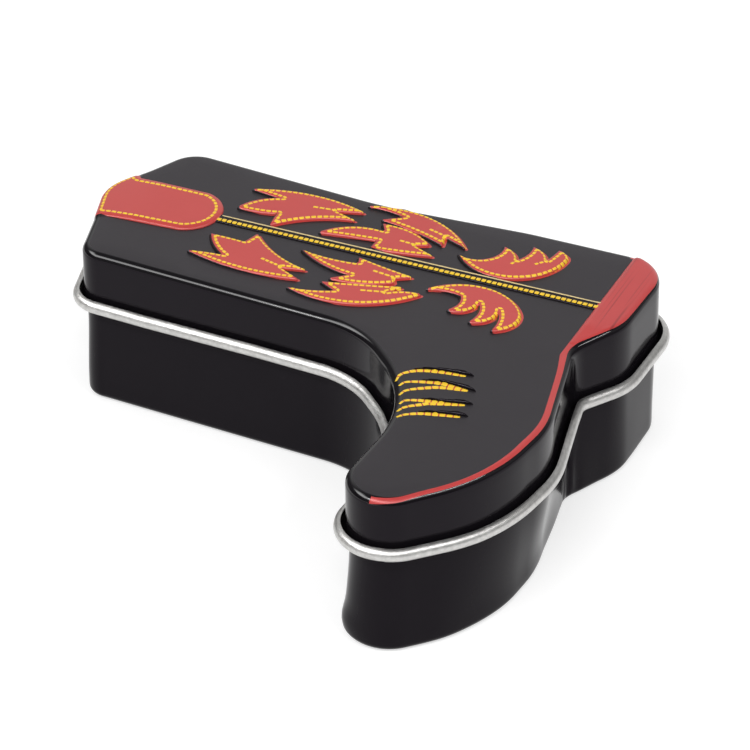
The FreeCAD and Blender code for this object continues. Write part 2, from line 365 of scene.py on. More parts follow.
@dataclass(frozen=True)
class BootPlan:
    """Plan of the lid's skirt as corners (x, y, radius), hollow ones with a negative radius.

    Stations are at most a step apart, and on an arc at most an arc turn in degrees.
    """

    boot_top_front: Triple = (-35.7, 4.7, 3.6)
    instep_upper: Triple = (7.5, 2.15, -15.9)
    instep_lower: Triple = (20.8, -10.45, -21.8)
    toe_tip: Triple = (18.75, -43.5, 5.75)
    sole_front: Triple = (37.9, -22.9, 25.0)
    sole_ball: Triple = (39.9, -9.2, 18.0)
    sole_waist: Triple = (35.8, 9.1, -4.5)
    heel_breast: Triple = (40.15, 16.3, 9.0)
    heel_back: Triple = (40.45, 33.95, 6.9)
    heel_counter: Triple = (19.0, 34.0, 40.3)
    ankle: Triple = (-1.8, 32.6, -60.0)
    boot_top_back: Triple = (-33.15, 35.0, 4.75)
    boot_top_dip_back: Triple = (-36.5, 28.1, -20.0)
    boot_top_peak: Triple = (-40.3, 21.5, 6.8)
    boot_top_dip_front: Triple = (-37.85, 13.2, -20.0)
    centre: Place = (0.181, 0.576)
    step: float = 0.5
    arc_turn: float = 4.0

    def corners(self) -> tuple[Triple, ...]:
        """The corners in order, counter-clockwise."""
        return (self.boot_top_front, self.instep_upper, self.instep_lower, self.toe_tip, self.sole_front,
                self.sole_ball, self.sole_waist, self.heel_breast, self.heel_back, self.heel_counter,
                self.ankle, self.boot_top_back, self.boot_top_dip_back, self.boot_top_peak,
                self.boot_top_dip_front)

    def outline(self) -> Outline:
        """Follows the straight sides and tangent arcs of the plan.

        Returns:
            Stations all the way round.
        """
        corners = np.array(self.corners())
        places, radii = corners[:, :2], corners[:, 2]
        ways_out = unit(np.roll(places, -1, 0) - places)
        points, outward, arc_ends = [], [], []
        for place, radius, way_in, way_out in zip(places, radii, np.roll(ways_out, 1, 0), ways_out):
            turn = math.atan2(cross(way_in, way_out), float(way_in @ way_out))
            reach = radius * math.tan(0.5 * turn)
            normal = -left_of(way_in)
            centre = place - reach * way_in - radius * normal
            count = math.ceil(max(abs(math.degrees(turn)) / self.arc_turn, abs(radius * turn) / self.step))
            normals = [turned(normal, turn * k / count) for k in range(count + 1)]
            arc_ends.append((place - reach * way_in, place + reach * way_out))
            points.append([centre + radius * n for n in normals])
            outward.append(normals)
        for i, (_, end) in enumerate(arc_ends):
            start = arc_ends[(i + 1) % len(arc_ends)][0]
            line = bowed(tuple(end), tuple(start), 0.0, self.step)[1:]
            points[i] = np.vstack([points[i], line])
            outward[i] = np.vstack([outward[i], np.repeat([outward[i][-1]], len(line), 0)])
        return Outline(np.vstack(points) - np.array(self.centre), np.vstack(outward))


# Meshes


class MeshDraft:
    """Points, faces and finishes of one piece while it is drawn.

    Points nearer to each other than the weld, in metres, become one, and edges that turn by more than the
    sharp angle aren't smoothed.
    """

    WELD = 5e-7
    SHARP = math.radians(48.0)

    def __init__(self) -> None:
        """Starts with nothing drawn."""
        self._points: list[np.ndarray] = []
        self._faces: list[Sequence[int]] = []
        self._coats: list[int] = []
        self._count = 0

    def add(self, points: np.ndarray, faces: Iterable[Sequence[int]], coats: Iterable[int]) -> None:
        """Adds a patch.

        Args:
            points: Rows of x, y and z.
            faces: Corners of each face, as rows of points.
            coats: Finish of each face.
        """
        self._faces += [[corner + self._count for corner in face] for face in faces]
        self._coats += [int(coat) for coat in coats]
        self._points.append(points)
        self._count += len(points)

    def sweep(self, places: np.ndarray, coats: np.ndarray) -> None:
        """Adds a section carried round a closed path.

        Args:
            places: Points by station and by place in the section.
            coats: Finish of each strip of the section at each station.
        """
        stations, width, _ = places.shape
        faces, finishes = [], []
        for i in range(stations):
            row, following = i * width, (i + 1) % stations * width
            for j in range(width - 1):
                faces.append((row + j, row + j + 1, following + j + 1, following + j))
                finishes.append(coats[i, j])
        self.add(places.reshape(-1, 3), faces, finishes)

    def piece(self, name: str, finishes: Finishes) -> bpy.types.Object:
        """Makes the piece.

        Args:
            name: Name of the new object.
            finishes: Material of each finish.

        Returns:
            The object, linked to the scene.
        """
        mesh = bpy.data.meshes.new(name)
        mesh.from_pydata((np.vstack(self._points) * MM).tolist(), [], self._faces)
        used = sorted(set(self._coats))
        for coat in used:
            mesh.materials.append(finishes[Coat(coat)])
        mesh.polygons.foreach_set("material_index", [used.index(coat) for coat in self._coats])
        mesh.polygons.foreach_set("use_smooth", [True] * len(mesh.polygons))
        shell = bmesh.new()
        shell.from_mesh(mesh)
        bmesh.ops.remove_doubles(shell, verts=shell.verts, dist=self.WELD)
        shell.to_mesh(mesh)
        shell.free()
        mesh.set_sharp_from_angle(angle=self.SHARP)
        made = bpy.data.objects.new(name, mesh)
        bpy.context.scene.collection.objects.link(made)
        return made


def arc(centre: Place, radius: float, start: float, end: float, count: int) -> np.ndarray:
    """Points of a sheet section, rows of outward and height, on an arc between two angles in degrees."""
    angles = np.radians(np.linspace(start, end, count + 1))
    return np.column_stack([centre[0] + radius * np.cos(angles), centre[1] + radius * np.sin(angles)])


def placed(outline: Outline, section: np.ndarray) -> np.ndarray:
    """Sets a section at every station.

    Args:
        outline: The stations.
        section: Rows of outward and height, the same at each station or its own at each.

    Returns:
        Points by station and by place in the section.
    """
    sections = np.broadcast_to(section, (len(outline.points), *section.shape[-2:]))
    plan = outline.points[:, None] + sections[..., :1] * outline.outward[:, None]
    return np.concatenate([plan, sections[..., 1:]], axis=2)


def divided(rim: Chain, lines: Sequence[Chain], spacing: float) -> tuple[np.ndarray, Triangles]:
    """Divides the inside of a closed chain into triangles.

    Args:
        rim: The closed chain.
        lines: Lines inside it that the triangles follow.
        spacing: Distance between the loose points that fill the rest.

    Returns:
        Points in plan, and the triangles.
    """
    rim_gap, weld = 0.4, 1e-5
    curve = ClosedCurve(rim.points)
    sides = [np.arange(low, high, spacing) for low, high in zip(curve.low, curve.high)]
    loose = np.column_stack([side.ravel() for side in np.meshgrid(*sides)])
    loose = loose[curve.contains(loose)]
    loose = loose[curve.clearance(loose) > rim_gap * spacing]
    points, edges = [], []
    for chain in [rim, *lines]:
        start = len(points)
        points += chain.points.tolist()
        edges += [(i, i + 1) for i in range(start, len(points) - 1)]
        if chain.closed:
            edges.append((len(points) - 1, start))
    points += loose.tolist()
    made, _, faces, *_ = delaunay_2d_cdt([Vector(point) for point in points], edges, [], 1, weld)
    return np.array([tuple(point) for point in made]), [list(face) for face in faces]


# Ornament of the lid panel


@dataclass(frozen=True)
class Raised:
    """One raised shape of the lid panel, with a shoulder that rounds over from its foot.

    A ramp gives the places along one axis where the shape starts to rise and where it has its full height.
    """

    edge: ClosedCurve
    height: float
    shoulder: float
    ramp: Place | None = None
    ramp_axis: int = 0

    def levels(self, count: int = 5, guard: float = 0.03) -> list[float]:
        """Distances inside the foot at which the panel needs points to show the shoulder."""
        angles = [0.5 * math.pi * k / count for k in range(count + 1)]
        return [-guard, *(self.shoulder * (1.0 - math.cos(a)) for a in angles), self.shoulder + guard]

    def lift(self, points: np.ndarray) -> np.ndarray:
        """Finds how far the panel stands up.

        Args:
            points: Places in plan.

        Returns:
            The rise at each of them.
        """
        found = np.zeros(len(points))
        rows = np.flatnonzero(self.edge.contains(points))
        short = 1.0 - np.clip(self.edge.clearance(points[rows]) / self.shoulder, 0.0, 1.0)
        found[rows] = self.height * np.sqrt(1.0 - short ** 2)
        if self.ramp:
            start, full = self.ramp
            found *= np.clip((points[:, self.ramp_axis] - start) / (full - start), 0.0, 1.0)
        return found


@dataclass(frozen=True)
class Relief:
    """All that is raised on the lid panel."""

    shapes: tuple[Raised, ...]

    def lift(self, points: np.ndarray) -> np.ndarray:
        """How far the panel stands up at each point."""
        return np.max([shape.lift(points) for shape in self.shapes], axis=0)


@dataclass(frozen=True)
class PrintArea:
    """A printed area of the lid: where it is, its finish, and the line that bounds it on the panel."""

    area: ClosedCurve
    coat: Coat
    bound: Chain


@dataclass(frozen=True)
class Motif:
    """A flame or wing.

    Its corners go clockwise from the left tip, each as x, y and the outward bow of the edge that follows.
    A slit is the number of its corner, and how far in x and y a stitch line runs on from there.
    """

    corners: tuple[Triple, ...]
    slits: tuple[tuple[int, Place], ...]


@dataclass(frozen=True)
class BootOrnament:
    """Flames, wings, pull strap, side seam, vamp creases, heel and welt of the lid panel."""

    outline: Outline
    panel_offset: float
    step: float = 0.22

    # Side seam
    seam_y: float = 19.25
    seam_half_width: float = 0.95
    seam_start_x: float = -22.1
    seam_end_x: float = 34.9
    seam_step: float = 1.0
    rib_height: float = 0.25
    rib_shoulder: float = 0.3

    # Pull strap, and what it shares with the heel block: both run out over the edge round
    strap_far_y: float = 24.6
    strap_near_y: float = 14.35
    strap_flare: float = 0.6
    strap_top_x: float = -36.5
    strap_end_x: float = -21.8
    strap_end_rise: float = 4.0
    strap_height: float = 0.4
    strap_ramp: Place = (-41.5, -33.0)
    pad_shoulder: float = 0.75
    pad_overrun: float = 3.0

    # Heel block, and the welt along the sole, which is wider at the waist and runs out at the toe
    heel_line_x: float = 34.2
    heel_lean: float = 0.4
    heel_foot_gap: float = 0.3
    heel_foot_y: float = 9.5
    heel_height: float = 0.42
    heel_ramp: Place = (8.5, 14.0)
    welt_toe: Place = (25.0, -33.9)
    welt_width: float = 0.26
    welt_start_y: float = -25.0
    welt_growth: float = 10.0
    waist_welt: float = 0.4
    waist_welt_y: float = 8.5
    waist_welt_reach: float = 4.0

    # Flames and wings, printed a little wider than their corners say, and embossed a little to the left
    motif_margin: float = 0.14
    motif_height: float = 0.45
    motif_shoulder: float = 0.42
    emboss_shift: Place = (-0.34, -0.05)
    tip_round: float = 0.6
    tip_reach: float = 0.5
    tip_points: int = 5
    far_shaft_flame: Motif = Motif(
        ((-20.4, 27.8, 1.7), (-3.6, 28.3, 0.0), (-7.5, 27.1, 0.0), (-3.9, 25.9, -1.1), (-14.3, 20.1, 0.0),
         (-14.6, 23.3, 0.3), (-20.3, 22.6, 0.8), (-15.7, 27.1, 0.0)), ((2, (-3.4, -0.4)),))
    near_shaft_flame: Motif = Motif(
        ((-20.7, 14.9, 0.1), (-15.5, 14.8, 0.0), (-14.7, 17.4, -0.9), (-4.8, 11.6, 0.0), (-8.3, 10.8, 0.0),
         (-4.8, 9.1, 1.2), (-21.7, 9.7, 0.2), (-16.7, 10.5, 0.5)), ((4, (-3.5, 0.9)),))
    far_outer_flame: Motif = Motif(
        ((-3.7, 30.1, 3.0), (12.9, 25.3, 0.0), (9.2, 26.8, 0.0), (9.7, 24.7, -0.4), (-0.6, 27.5, 0.0),
         (2.0, 29.3, -0.3)), ((2, (-2.9, 0.9)),))
    far_inner_flame: Motif = Motif(
        ((-7.2, 21.1, 1.4), (1.0, 24.8, 0.0), (-0.1, 26.6, 1.0), (8.1, 24.1, 0.0), (6.1, 23.2, 0.0),
         (9.6, 21.7, 0.2), (0.9, 20.1, 0.0), (1.0, 22.3, -0.1)), ((4, (-2.4, 0.2)),))
    near_inner_flame: Motif = Motif(
        ((-7.5, 16.1, -0.4), (1.0, 15.9, 0.0), (0.5, 17.4, -0.1), (9.2, 15.7, 0.0), (7.0, 14.4, 0.0),
         (7.6, 13.4, 0.7), (-1.0, 10.9, 0.0), (1.2, 12.8, 0.7)), ((4, (-3.5, 0.5)),))
    near_outer_flame: Motif = Motif(
        ((-5.3, 6.6, -0.3), (0.9, 8.3, 0.0), (-1.7, 9.7, 0.0), (9.0, 12.8, 0.0), (7.3, 10.6, 0.5),
         (12.1, 12.2, 3.2)), ((4, (-3.4, -0.9)),))
    far_wing: Motif = Motif(
        ((12.6, 23.6, -2.4), (17.6, 27.8, 0.6), (20.5, 25.1, -0.5), (21.3, 29.3, 0.6), (24.3, 26.6, -0.1),
         (24.9, 29.9, 0.2), (26.8, 28.6, 5.7)), ((2, (-0.5, -1.2)), (4, (-1.3, -1.5))))
    near_wing: Motif = Motif(
        ((12.2, 13.7, 3.8), (26.2, 13.1, 1.3), (24.2, 7.6, -0.5), (23.0, 12.7, 1.3), (20.6, 8.4, -0.7),
         (19.9, 13.3, 1.2), (16.8, 10.0, -0.7), (17.0, 13.9, -0.5)), ())

    # Vamp creases from the instep inwards, some of them with a raised fold on their far side
    creases: tuple[tuple[Place, ...], ...] = (
        ((17.0, -7.9), (17.1, -6.2), (18.9, -4.6), (21.8, -3.8), (25.2, -3.4)),
        ((17.9, -8.9), (18.5, -7.7), (21.0, -6.7), (23.2, -6.3), (26.8, -6.5)),
        ((18.8, -10.9), (19.3, -9.5), (21.4, -8.0), (23.3, -7.1), (26.8, -6.5)),
        ((19.7, -12.8), (20.2, -11.7), (22.7, -10.8), (24.9, -10.5), (27.8, -9.7)),
        ((20.1, -14.5), (20.7, -13.2), (22.3, -11.9), (23.6, -11.1), (27.8, -9.7)),
        ((20.6, -15.8), (21.4, -14.8), (23.2, -13.8), (25.6, -13.1), (28.3, -12.5)))
    folded: tuple[int, ...] = (0, 1, 3, 5)
    fold_height: float = 0.45
    fold_shoulder: float = 0.45
    fold_start: float = 0.3
    fold_run_on: float = 0.9
    fold_gap: float = 0.4
    fold_lean: float = 0.1
    fold_least: float = 0.04
    fold_width: float = 0.66
    fold_profile: Knots = ((0.0, 0.55, 0.8, 1.0), (0.0, 0.8, 1.0, 0.0))

    def motifs(self) -> tuple[Motif, ...]:
        """The flames and wings."""
        return (self.far_shaft_flame, self.near_shaft_flame, self.far_outer_flame, self.far_inner_flame,
                self.near_inner_flame, self.near_outer_flame, self.far_wing, self.near_wing)

    def sides(self, motif: Motif) -> list[np.ndarray]:
        """The sides of a motif, each from its first corner to just before the next."""
        return [bowed((x, y), (next_x, next_y), bow, self.step) for (x, y, bow), (next_x, next_y, _)
                in zip(motif.corners, motif.corners[1:] + motif.corners[:1])]

    def off_tip(self, points: np.ndarray, tip: np.ndarray) -> np.ndarray:
        """The points that lie outside the rounding of a tip."""
        return points[np.linalg.norm(points - tip, axis=1) > self.tip_round]

    def edge(self, motif: Motif) -> ClosedCurve:
        """Draws a motif with its tips rounded off.

        Args:
            motif: The flame or wing.

        Returns:
            The outline that its stitches follow.
        """
        sides = self.sides(motif)
        share = np.linspace(0.0, 1.0, self.tip_points)[:, None]
        found = []
        for before, here in zip(sides[-1:] + sides[:-1], sides):
            corner = here[0]
            way_in, way_out = unit(corner - before[-1]), unit(here[1] - corner)
            if cross(way_in, way_out) > 0.0:
                found.append(here)
                continue
            tip = corner + self.tip_reach * (1.0 - half_sine(way_in, way_out)) * unit(way_in - way_out)
            first, last = corner - self.tip_round * way_in, corner + self.tip_round * way_out
            if found:
                found[-1] = self.off_tip(found[-1], corner)
            found.append((1.0 - share) ** 2 * first + 2.0 * share * (1.0 - share) * tip + share ** 2 * last)
            found.append(self.off_tip(here, corner))
        found[-1] = self.off_tip(found[-1], np.array(motif.corners[0][:2]))
        return ClosedCurve(np.vstack(found))

    def printed(self) -> list[ClosedCurve]:
        """Outlines of the flames and wings as printed."""
        grown = [self.edge(motif).inset(-self.motif_margin) for motif in self.motifs()]
        return [ClosedCurve(np.vstack([chain.points for chain in chains])) for chains in grown]

    def slits(self) -> list[Pair]:
        """Finds where a stitch line runs on past the end of a slit.

        Returns:
            The ends of each line, from the slit inwards.
        """
        found = []
        for motif in self.motifs():
            for corner, reach in motif.slits:
                start = np.array(motif.corners[corner][:2])
                found.append((start, start + np.array(reach)))
        return found

    def tips(self, inset: float, gap: float, shortest: float = 0.5, sharpest: float = 0.6) -> list[Pair]:
        """Finds where a stitch line runs out into a motif's tip.

        Args:
            inset: Distance of the stitches from the motif's edge.
            gap: What is left free at the tip.
            shortest: Length that a line has to have.
            sharpest: Sine of half the angle of a tip, above which it needs no line of its own.

        Returns:
            The ends of each line, from the tip inwards.
        """
        found = []
        for points in [ClosedCurve(np.vstack(self.sides(motif))).points for motif in self.motifs()]:
            leaving = unit(np.roll(points, -1, 0) - points)
            for here, way_in, way_out in zip(points, np.roll(leaving, 1, 0), leaving):
                half = half_sine(way_in, way_out)
                if cross(way_in, way_out) > 0.0 and half < sharpest and inset / half > gap + shortest:
                    inward = unit(way_out - way_in)
                    found.append((here + gap * inward, here + inset / half * inward))
        return found

    def ring(self) -> np.ndarray:
        """The panel's edge, where the edge round begins, at each station."""
        return self.outline.moved(-self.panel_offset)

    def strap_tops(self) -> tuple[Place, Place]:
        """The far and the near end of the pull strap's sides at the boot top."""
        near_y = self.strap_near_y - self.strap_flare
        return (self.strap_top_x, self.strap_far_y), (self.strap_top_x, near_y)

    def strap_stations(self) -> tuple[int, int]:
        """Stations at the two sides of the pull strap, where it meets the boot top."""
        far, near = (self.outline.nearest(top, -self.panel_offset) for top in self.strap_tops())
        return far, near

    def strap_line(self) -> np.ndarray:
        """Draws the pull strap's sides and round end.

        Returns:
            Points from the far side to the near one.
        """
        shoulder_x = self.strap_end_x - self.strap_end_rise
        far, near = (shoulder_x, self.strap_far_y), (shoulder_x, self.strap_near_y)
        far_top, near_top = self.strap_tops()
        return np.vstack([bowed(far_top, far, 0.0, self.step),
                          bowed(far, near, self.strap_end_rise, self.step),
                          bowed(near, near_top, 0.0, self.step)])

    def strap_area(self, offset: float) -> ClosedCurve:
        """The pull strap, up to a line inside the boot top's edge."""
        high, low = self.strap_stations()
        return ClosedCurve(np.vstack([self.strap_line(), self.outline.moved(-offset)[high:low + 1][::-1]]))

    def sole_stations(self) -> np.ndarray:
        """Finds the stations along the sole.

        Returns:
            Their numbers, from the toe to the back of the heel.
        """
        start = self.outline.nearest(self.welt_toe, -self.panel_offset)
        corner = (self.heel_line_x + self.heel_lean, float(self.outline.points[:, 1].max()))
        return np.arange(start, self.outline.nearest(corner, -self.panel_offset) + 1)

    def heel_line(self) -> np.ndarray:
        """Draws the inner edge of the heel block and welt.

        Returns:
            Points from the back of the heel to the toe.
        """
        stations = self.sole_stations()
        edge = self.ring()[stations]
        waist = np.exp(-((self.outline.points[:, 1] - self.waist_welt_y) / self.waist_welt_reach) ** 2)
        width = self.welt_width + self.waist_welt * waist
        inner = self.outline.moved(-self.panel_offset - width)[stations]
        share = np.clip((inner[:, 1] - self.welt_start_y) / self.welt_growth, 0.0, 1.0)[:, None]
        inner = edge + share * (inner - edge)
        welt = inner[(inner[:, 1] < self.seam_y) & (inner[:, 0] > self.welt_toe[0])]
        foot = int(np.argmax((welt[:, 1] > 0.0) & (welt[:, 0] < self.heel_line_x + self.heel_foot_gap)))
        back = (self.heel_line_x + self.heel_lean, float(edge[-1, 1]))
        return np.vstack([bowed(back, tuple(welt[foot]), 0.0, self.step), welt[:foot + 1][::-1]])

    def heel_area(self) -> ClosedCurve:
        """The heel block and welt, up to the panel's edge."""
        return ClosedCurve(np.vstack([self.heel_line(), self.ring()[self.sole_stations()]]))

    def heel_pad(self) -> ClosedCurve:
        """Draws the raised heel block, which runs out over the edge of the panel.

        Returns:
            Its plan.
        """
        line = self.heel_line()
        foot = line[int(np.argmin(np.abs(line[:, 1] - self.heel_foot_y)))]
        back = float(line[0, 1]) + self.pad_overrun
        side = float(self.outline.points[:, 0].max()) + self.pad_overrun
        corners = [(line[0, 0], back), tuple(foot), (side, float(foot[1]) - self.pad_overrun), (side, back)]
        return polygon(corners, self.step)

    def crease_fold(self, places: Sequence[Place]) -> ClosedCurve:
        """Draws a raised crease, a crescent on the far side of its stitches that runs on past their tip.

        Args:
            places: Where the stitches go through.

        Returns:
            Its plan.
        """
        tip, before = np.array(places[-1]), np.array(places[-2])
        middle = smooth_line([*places, tuple(tip + self.fold_run_on * unit(tip - before))], self.step)
        middle = middle[int(self.fold_start * len(middle)):]
        share = np.linspace(0.0, 1.0, len(middle))
        width = self.fold_least + self.fold_width * np.interp(share, *self.fold_profile)
        side = left_of(unit(np.gradient(middle, axis=0)))
        near = middle + (self.fold_gap - self.fold_lean * share[:, None]) * side
        return ClosedCurve(np.vstack([near + width[:, None] * side, near[::-1]]))

    def folds(self) -> list[ClosedCurve]:
        """Plans of the raised creases."""
        return [self.crease_fold(self.creases[i]) for i in self.folded]

    def seam_band(self) -> ClosedCurve:
        """Draws the side seam's raised band.

        Returns:
            Its plan.
        """
        left, right = self.seam_start_x, self.seam_end_x
        low, high = self.seam_y - self.seam_half_width, self.seam_y + self.seam_half_width
        return polygon([(left, low), (right, low), (right, high), (left, high)], self.seam_step)

    def relief(self) -> Relief:
        """Gathers everything that is raised.

        Returns:
            The relief of the panel.
        """
        feet = [edge.moved(self.emboss_shift) for edge in self.printed()]
        shapes = [Raised(edge, self.motif_height, self.motif_shoulder) for edge in feet]
        strap = self.strap_area(self.panel_offset - self.pad_overrun)
        shapes.append(Raised(strap, self.strap_height, self.pad_shoulder, self.strap_ramp))
        shapes.append(Raised(self.heel_pad(), self.heel_height, self.pad_shoulder, self.heel_ramp, 1))
        shapes.append(Raised(self.seam_band(), self.rib_height, self.rib_shoulder))
        shapes += [Raised(edge, self.fold_height, self.fold_shoulder) for edge in self.folds()]
        return Relief(tuple(shapes))

    def prints(self) -> list[PrintArea]:
        """Gathers the printed areas of the panel.

        Returns:
            The areas, of which a later one covers an earlier one.
        """
        found = [PrintArea(edge, Coat.RED_ENAMEL, Chain(edge.points, True)) for edge in self.printed()]
        for edge in [*self.folds(), self.seam_band()]:
            found.append(PrintArea(edge, Coat.GLOSS_BLACK, Chain(edge.points, True)))
        ring, stations = self.ring(), self.sole_stations()
        high, low = self.strap_stations()
        strap = Chain(np.vstack([ring[high], self.strap_line(), ring[low]]))
        found.append(PrintArea(self.strap_area(self.panel_offset), Coat.RED_ENAMEL, strap))
        heel = Chain(np.vstack([ring[stations[-1]], self.heel_line(), ring[stations[0]]]))
        found.append(PrintArea(self.heel_area(), Coat.HEEL_ENAMEL, heel))
        return found


# The two pressings


@dataclass
class LidPressing:
    """The drawn lid in one sheet: embossed panel, edge round, skirt and outward curl."""

    outline: Outline
    sheet: float = 0.25
    top: float = 23.95
    edge_radius: float = 1.05
    ground_reach: float = 0.95
    grid: float = 2.4

    # Skirt and curl. The curl dips over y along the sole, and over x along the back and front
    curl_z: float = 16.2
    curl_radius: float = 0.8
    curl_turn: float = 270.0
    curl_steps: tuple[int, int] = (22, 28)
    skirt_steps: int = 5
    inside_steps: int = 8
    sole_x: float = 20.0
    sole_facing: float = 0.3
    back_y: float = 20.0
    sole_dips: Knots = ((-35.0, -25.0, -15.0, 3.0, 10.0, 16.0, 30.0), (0.0, 0.5, 0.5, 0.5, 1.1, 1.3, 1.4))
    back_dips: Knots = ((-10.0, 20.0), (0.2, 1.4))
    front_dips: Knots = ((-25.0, -8.0), (0.3, 0.0))

    # Printed band of the edge round: angles in degrees at which it starts and stops, with 90 at the panel
    edge_steps: tuple[int, int, int] = (4, 5, 5)
    panel_edge: float = 90.0
    plain_band: Place = (60.0, 30.0)
    strap_stop: float = 12.0
    toe_y: float = -20.0
    toe_starts: Knots = ((20.0, 23.5, 26.5, 31.0, 35.0), (58.0, 62.0, 76.0, 88.0, 90.0))
    toe_stops: Knots = ((22.0, 23.5, 26.5, 31.0, 36.0), (2.0, 4.0, 28.0, 52.0, 54.0))
    sole_stops: Knots = (
        (-20.0, 3.0, 8.5, 13.0, 20.0, 28.0, 33.5), (54.0, 62.0, 76.0, 62.0, 52.0, 44.0, 20.0))

    ornament: BootOrnament = field(init=False)
    relief: Relief = field(init=False)
    edge_lift: np.ndarray = field(init=False)

    def __post_init__(self) -> None:
        """Lays out the ornament inside the edge round."""
        self.ornament = BootOrnament(self.outline, self.edge_radius)
        self.relief = self.ornament.relief()
        self.edge_lift = self.relief.lift(self.ornament.ring())

    def ground(self, points: np.ndarray) -> np.ndarray:
        """Finds the lid's surface.

        Args:
            points: Places in plan on the panel or the edge round.

        Returns:
            Height of the surface at each of them.
        """
        rim = ClosedCurve(self.ornament.ring())
        height = self.top + self.relief.lift(points)
        outside = np.flatnonzero(~rim.contains(points))
        if len(outside):
            apart = np.minimum(rim.clearance(points[outside]), self.ground_reach * self.edge_radius)
            height[outside] -= self.edge_radius - np.sqrt(self.edge_radius ** 2 - apart ** 2)
        return height

    def print_reach(self) -> tuple[np.ndarray, np.ndarray, np.ndarray]:
        """Finds how far the print runs over the edge round.

        Returns:
            Finish of the printed band of the edge round at each station, and the angles in degrees at which
            the band starts and stops, over x at the toe and over y along the sole.
        """
        count = len(self.outline.points)
        # Where nothing is printed, the band takes the more reflective copy of the black lacquer, for a
        # painted highlight.
        coats = np.full(count, int(Coat.HIGHLIGHT_EDGE_BLACK))
        starts, stops = (np.full(count, angle) for angle in self.plain_band)
        high, low = self.ornament.strap_stations()
        coats[high:low] = Coat.RED_ENAMEL
        starts[high:low + 1], stops[high:low + 1] = self.panel_edge, self.strap_stop
        stations = self.ornament.sole_stations()
        coats[stations[:-1]] = Coat.HEEL_ENAMEL
        x, y = self.outline.points[stations].T
        toe = y < self.toe_y
        starts[stations] = np.where(toe, np.interp(x, *self.toe_starts), self.panel_edge)
        stops[stations] = np.where(toe, np.interp(x, *self.toe_stops), np.interp(y, *self.sole_stops))
        return coats, starts, stops

    def edge_round(self, starts: np.ndarray, stops: np.ndarray) -> np.ndarray:
        """Draws the outside of the edge round.

        Args:
            starts: Angle in degrees at which its printed band starts at each station.
            stops: Angle at which the band stops.

        Returns:
            The section at each station, divided where the band starts and stops.
        """
        ends = (np.full(len(starts), self.panel_edge), starts, stops, np.zeros(len(starts)))
        bands = [ends[0][:, None]]
        for upper, lower, count in zip(ends, ends[1:], self.edge_steps):
            share = np.linspace(0.0, 1.0, count + 1)[1:]
            bands.append(upper[:, None] + (lower - upper)[:, None] * share)
        turns = np.radians(np.hstack(bands))
        out = self.edge_radius * (np.cos(turns) - 1.0)
        height = self.top + self.edge_lift[:, None] + self.edge_radius * (np.sin(turns) - 1.0)
        return np.stack([out, height], axis=2)

    def curl_dip(self) -> np.ndarray:
        """Finds how much lower than at the toe the curl lies, because the skirt is deeper at the heel.

        Returns:
            The dip at each station.
        """
        x, y = self.outline.points.T
        facing = self.outline.outward
        front, back = np.interp(x, *self.front_dips), np.interp(x, *self.back_dips)
        dips = np.where((facing[:, 1] > 0.0) & (y > self.back_y), back, front)
        sole = (facing[:, 0] > self.sole_facing) & (x > self.sole_x)
        return np.where(sole, np.interp(y, *self.sole_dips), dips)

    def below_round(self) -> tuple[np.ndarray, int]:
        """Draws the skirt, the curl and the inside of the lid.

        Returns:
            The section at each station, and how many of its points are painted.
        """
        inner, outer = self.curl_radius - 0.5 * self.sheet, self.curl_radius + 0.5 * self.sheet
        curl, end = (inner, self.curl_z), 180.0 + self.curl_turn
        roll = np.vstack([arc(curl, inner, 180.0, end, self.curl_steps[0]),
                          arc(curl, outer, end, 180.0, self.curl_steps[1])])
        shares = np.linspace(0.0, 1.0, self.skirt_steps + 1)[1:-1]
        sections = []
        for dip, lift in zip(self.curl_dip(), self.edge_lift):
            shoulder = self.top + lift - self.edge_radius
            rise = shoulder + shares * (self.curl_z - dip - shoulder)
            wall = np.column_stack([np.zeros(len(rise)), rise])
            turn = (-self.edge_radius, shoulder)
            inside = arc(turn, self.edge_radius - self.sheet, 0.0, self.panel_edge, self.inside_steps)
            sections.append(np.vstack([wall, roll - np.array([0.0, dip]), inside]))
        return np.array(sections), len(shares) + self.curl_steps[0] + 1

    def panel(self) -> tuple[np.ndarray, Triangles]:
        """Divides the panel into triangles that follow the print and the embossing.

        Returns:
            Points in plan, and the triangles.
        """
        ring = self.ornament.ring()
        rim = ClosedCurve(ring)
        chains = []
        for shape in self.relief.shapes:
            for level in shape.levels():
                chains += shape.edge.inset(level)
        chains += [area.bound for area in self.ornament.prints()]
        lines = [part for chain in chains for part in chain.inside(rim)]
        return divided(Chain(ring, True), lines, self.grid)

    def panel_coats(self, plan: np.ndarray, faces: Triangles) -> np.ndarray:
        """Finds the finish of each triangle of the panel.

        Args:
            plan: Points of the panel.
            faces: Its triangles.

        Returns:
            The finishes, as numbers.
        """
        middles = plan[np.array(faces)].mean(1)
        coats = np.full(len(faces), int(Coat.SATIN_BLACK))
        for area in self.ornament.prints():
            coats[area.area.contains(middles)] = area.coat
        return coats

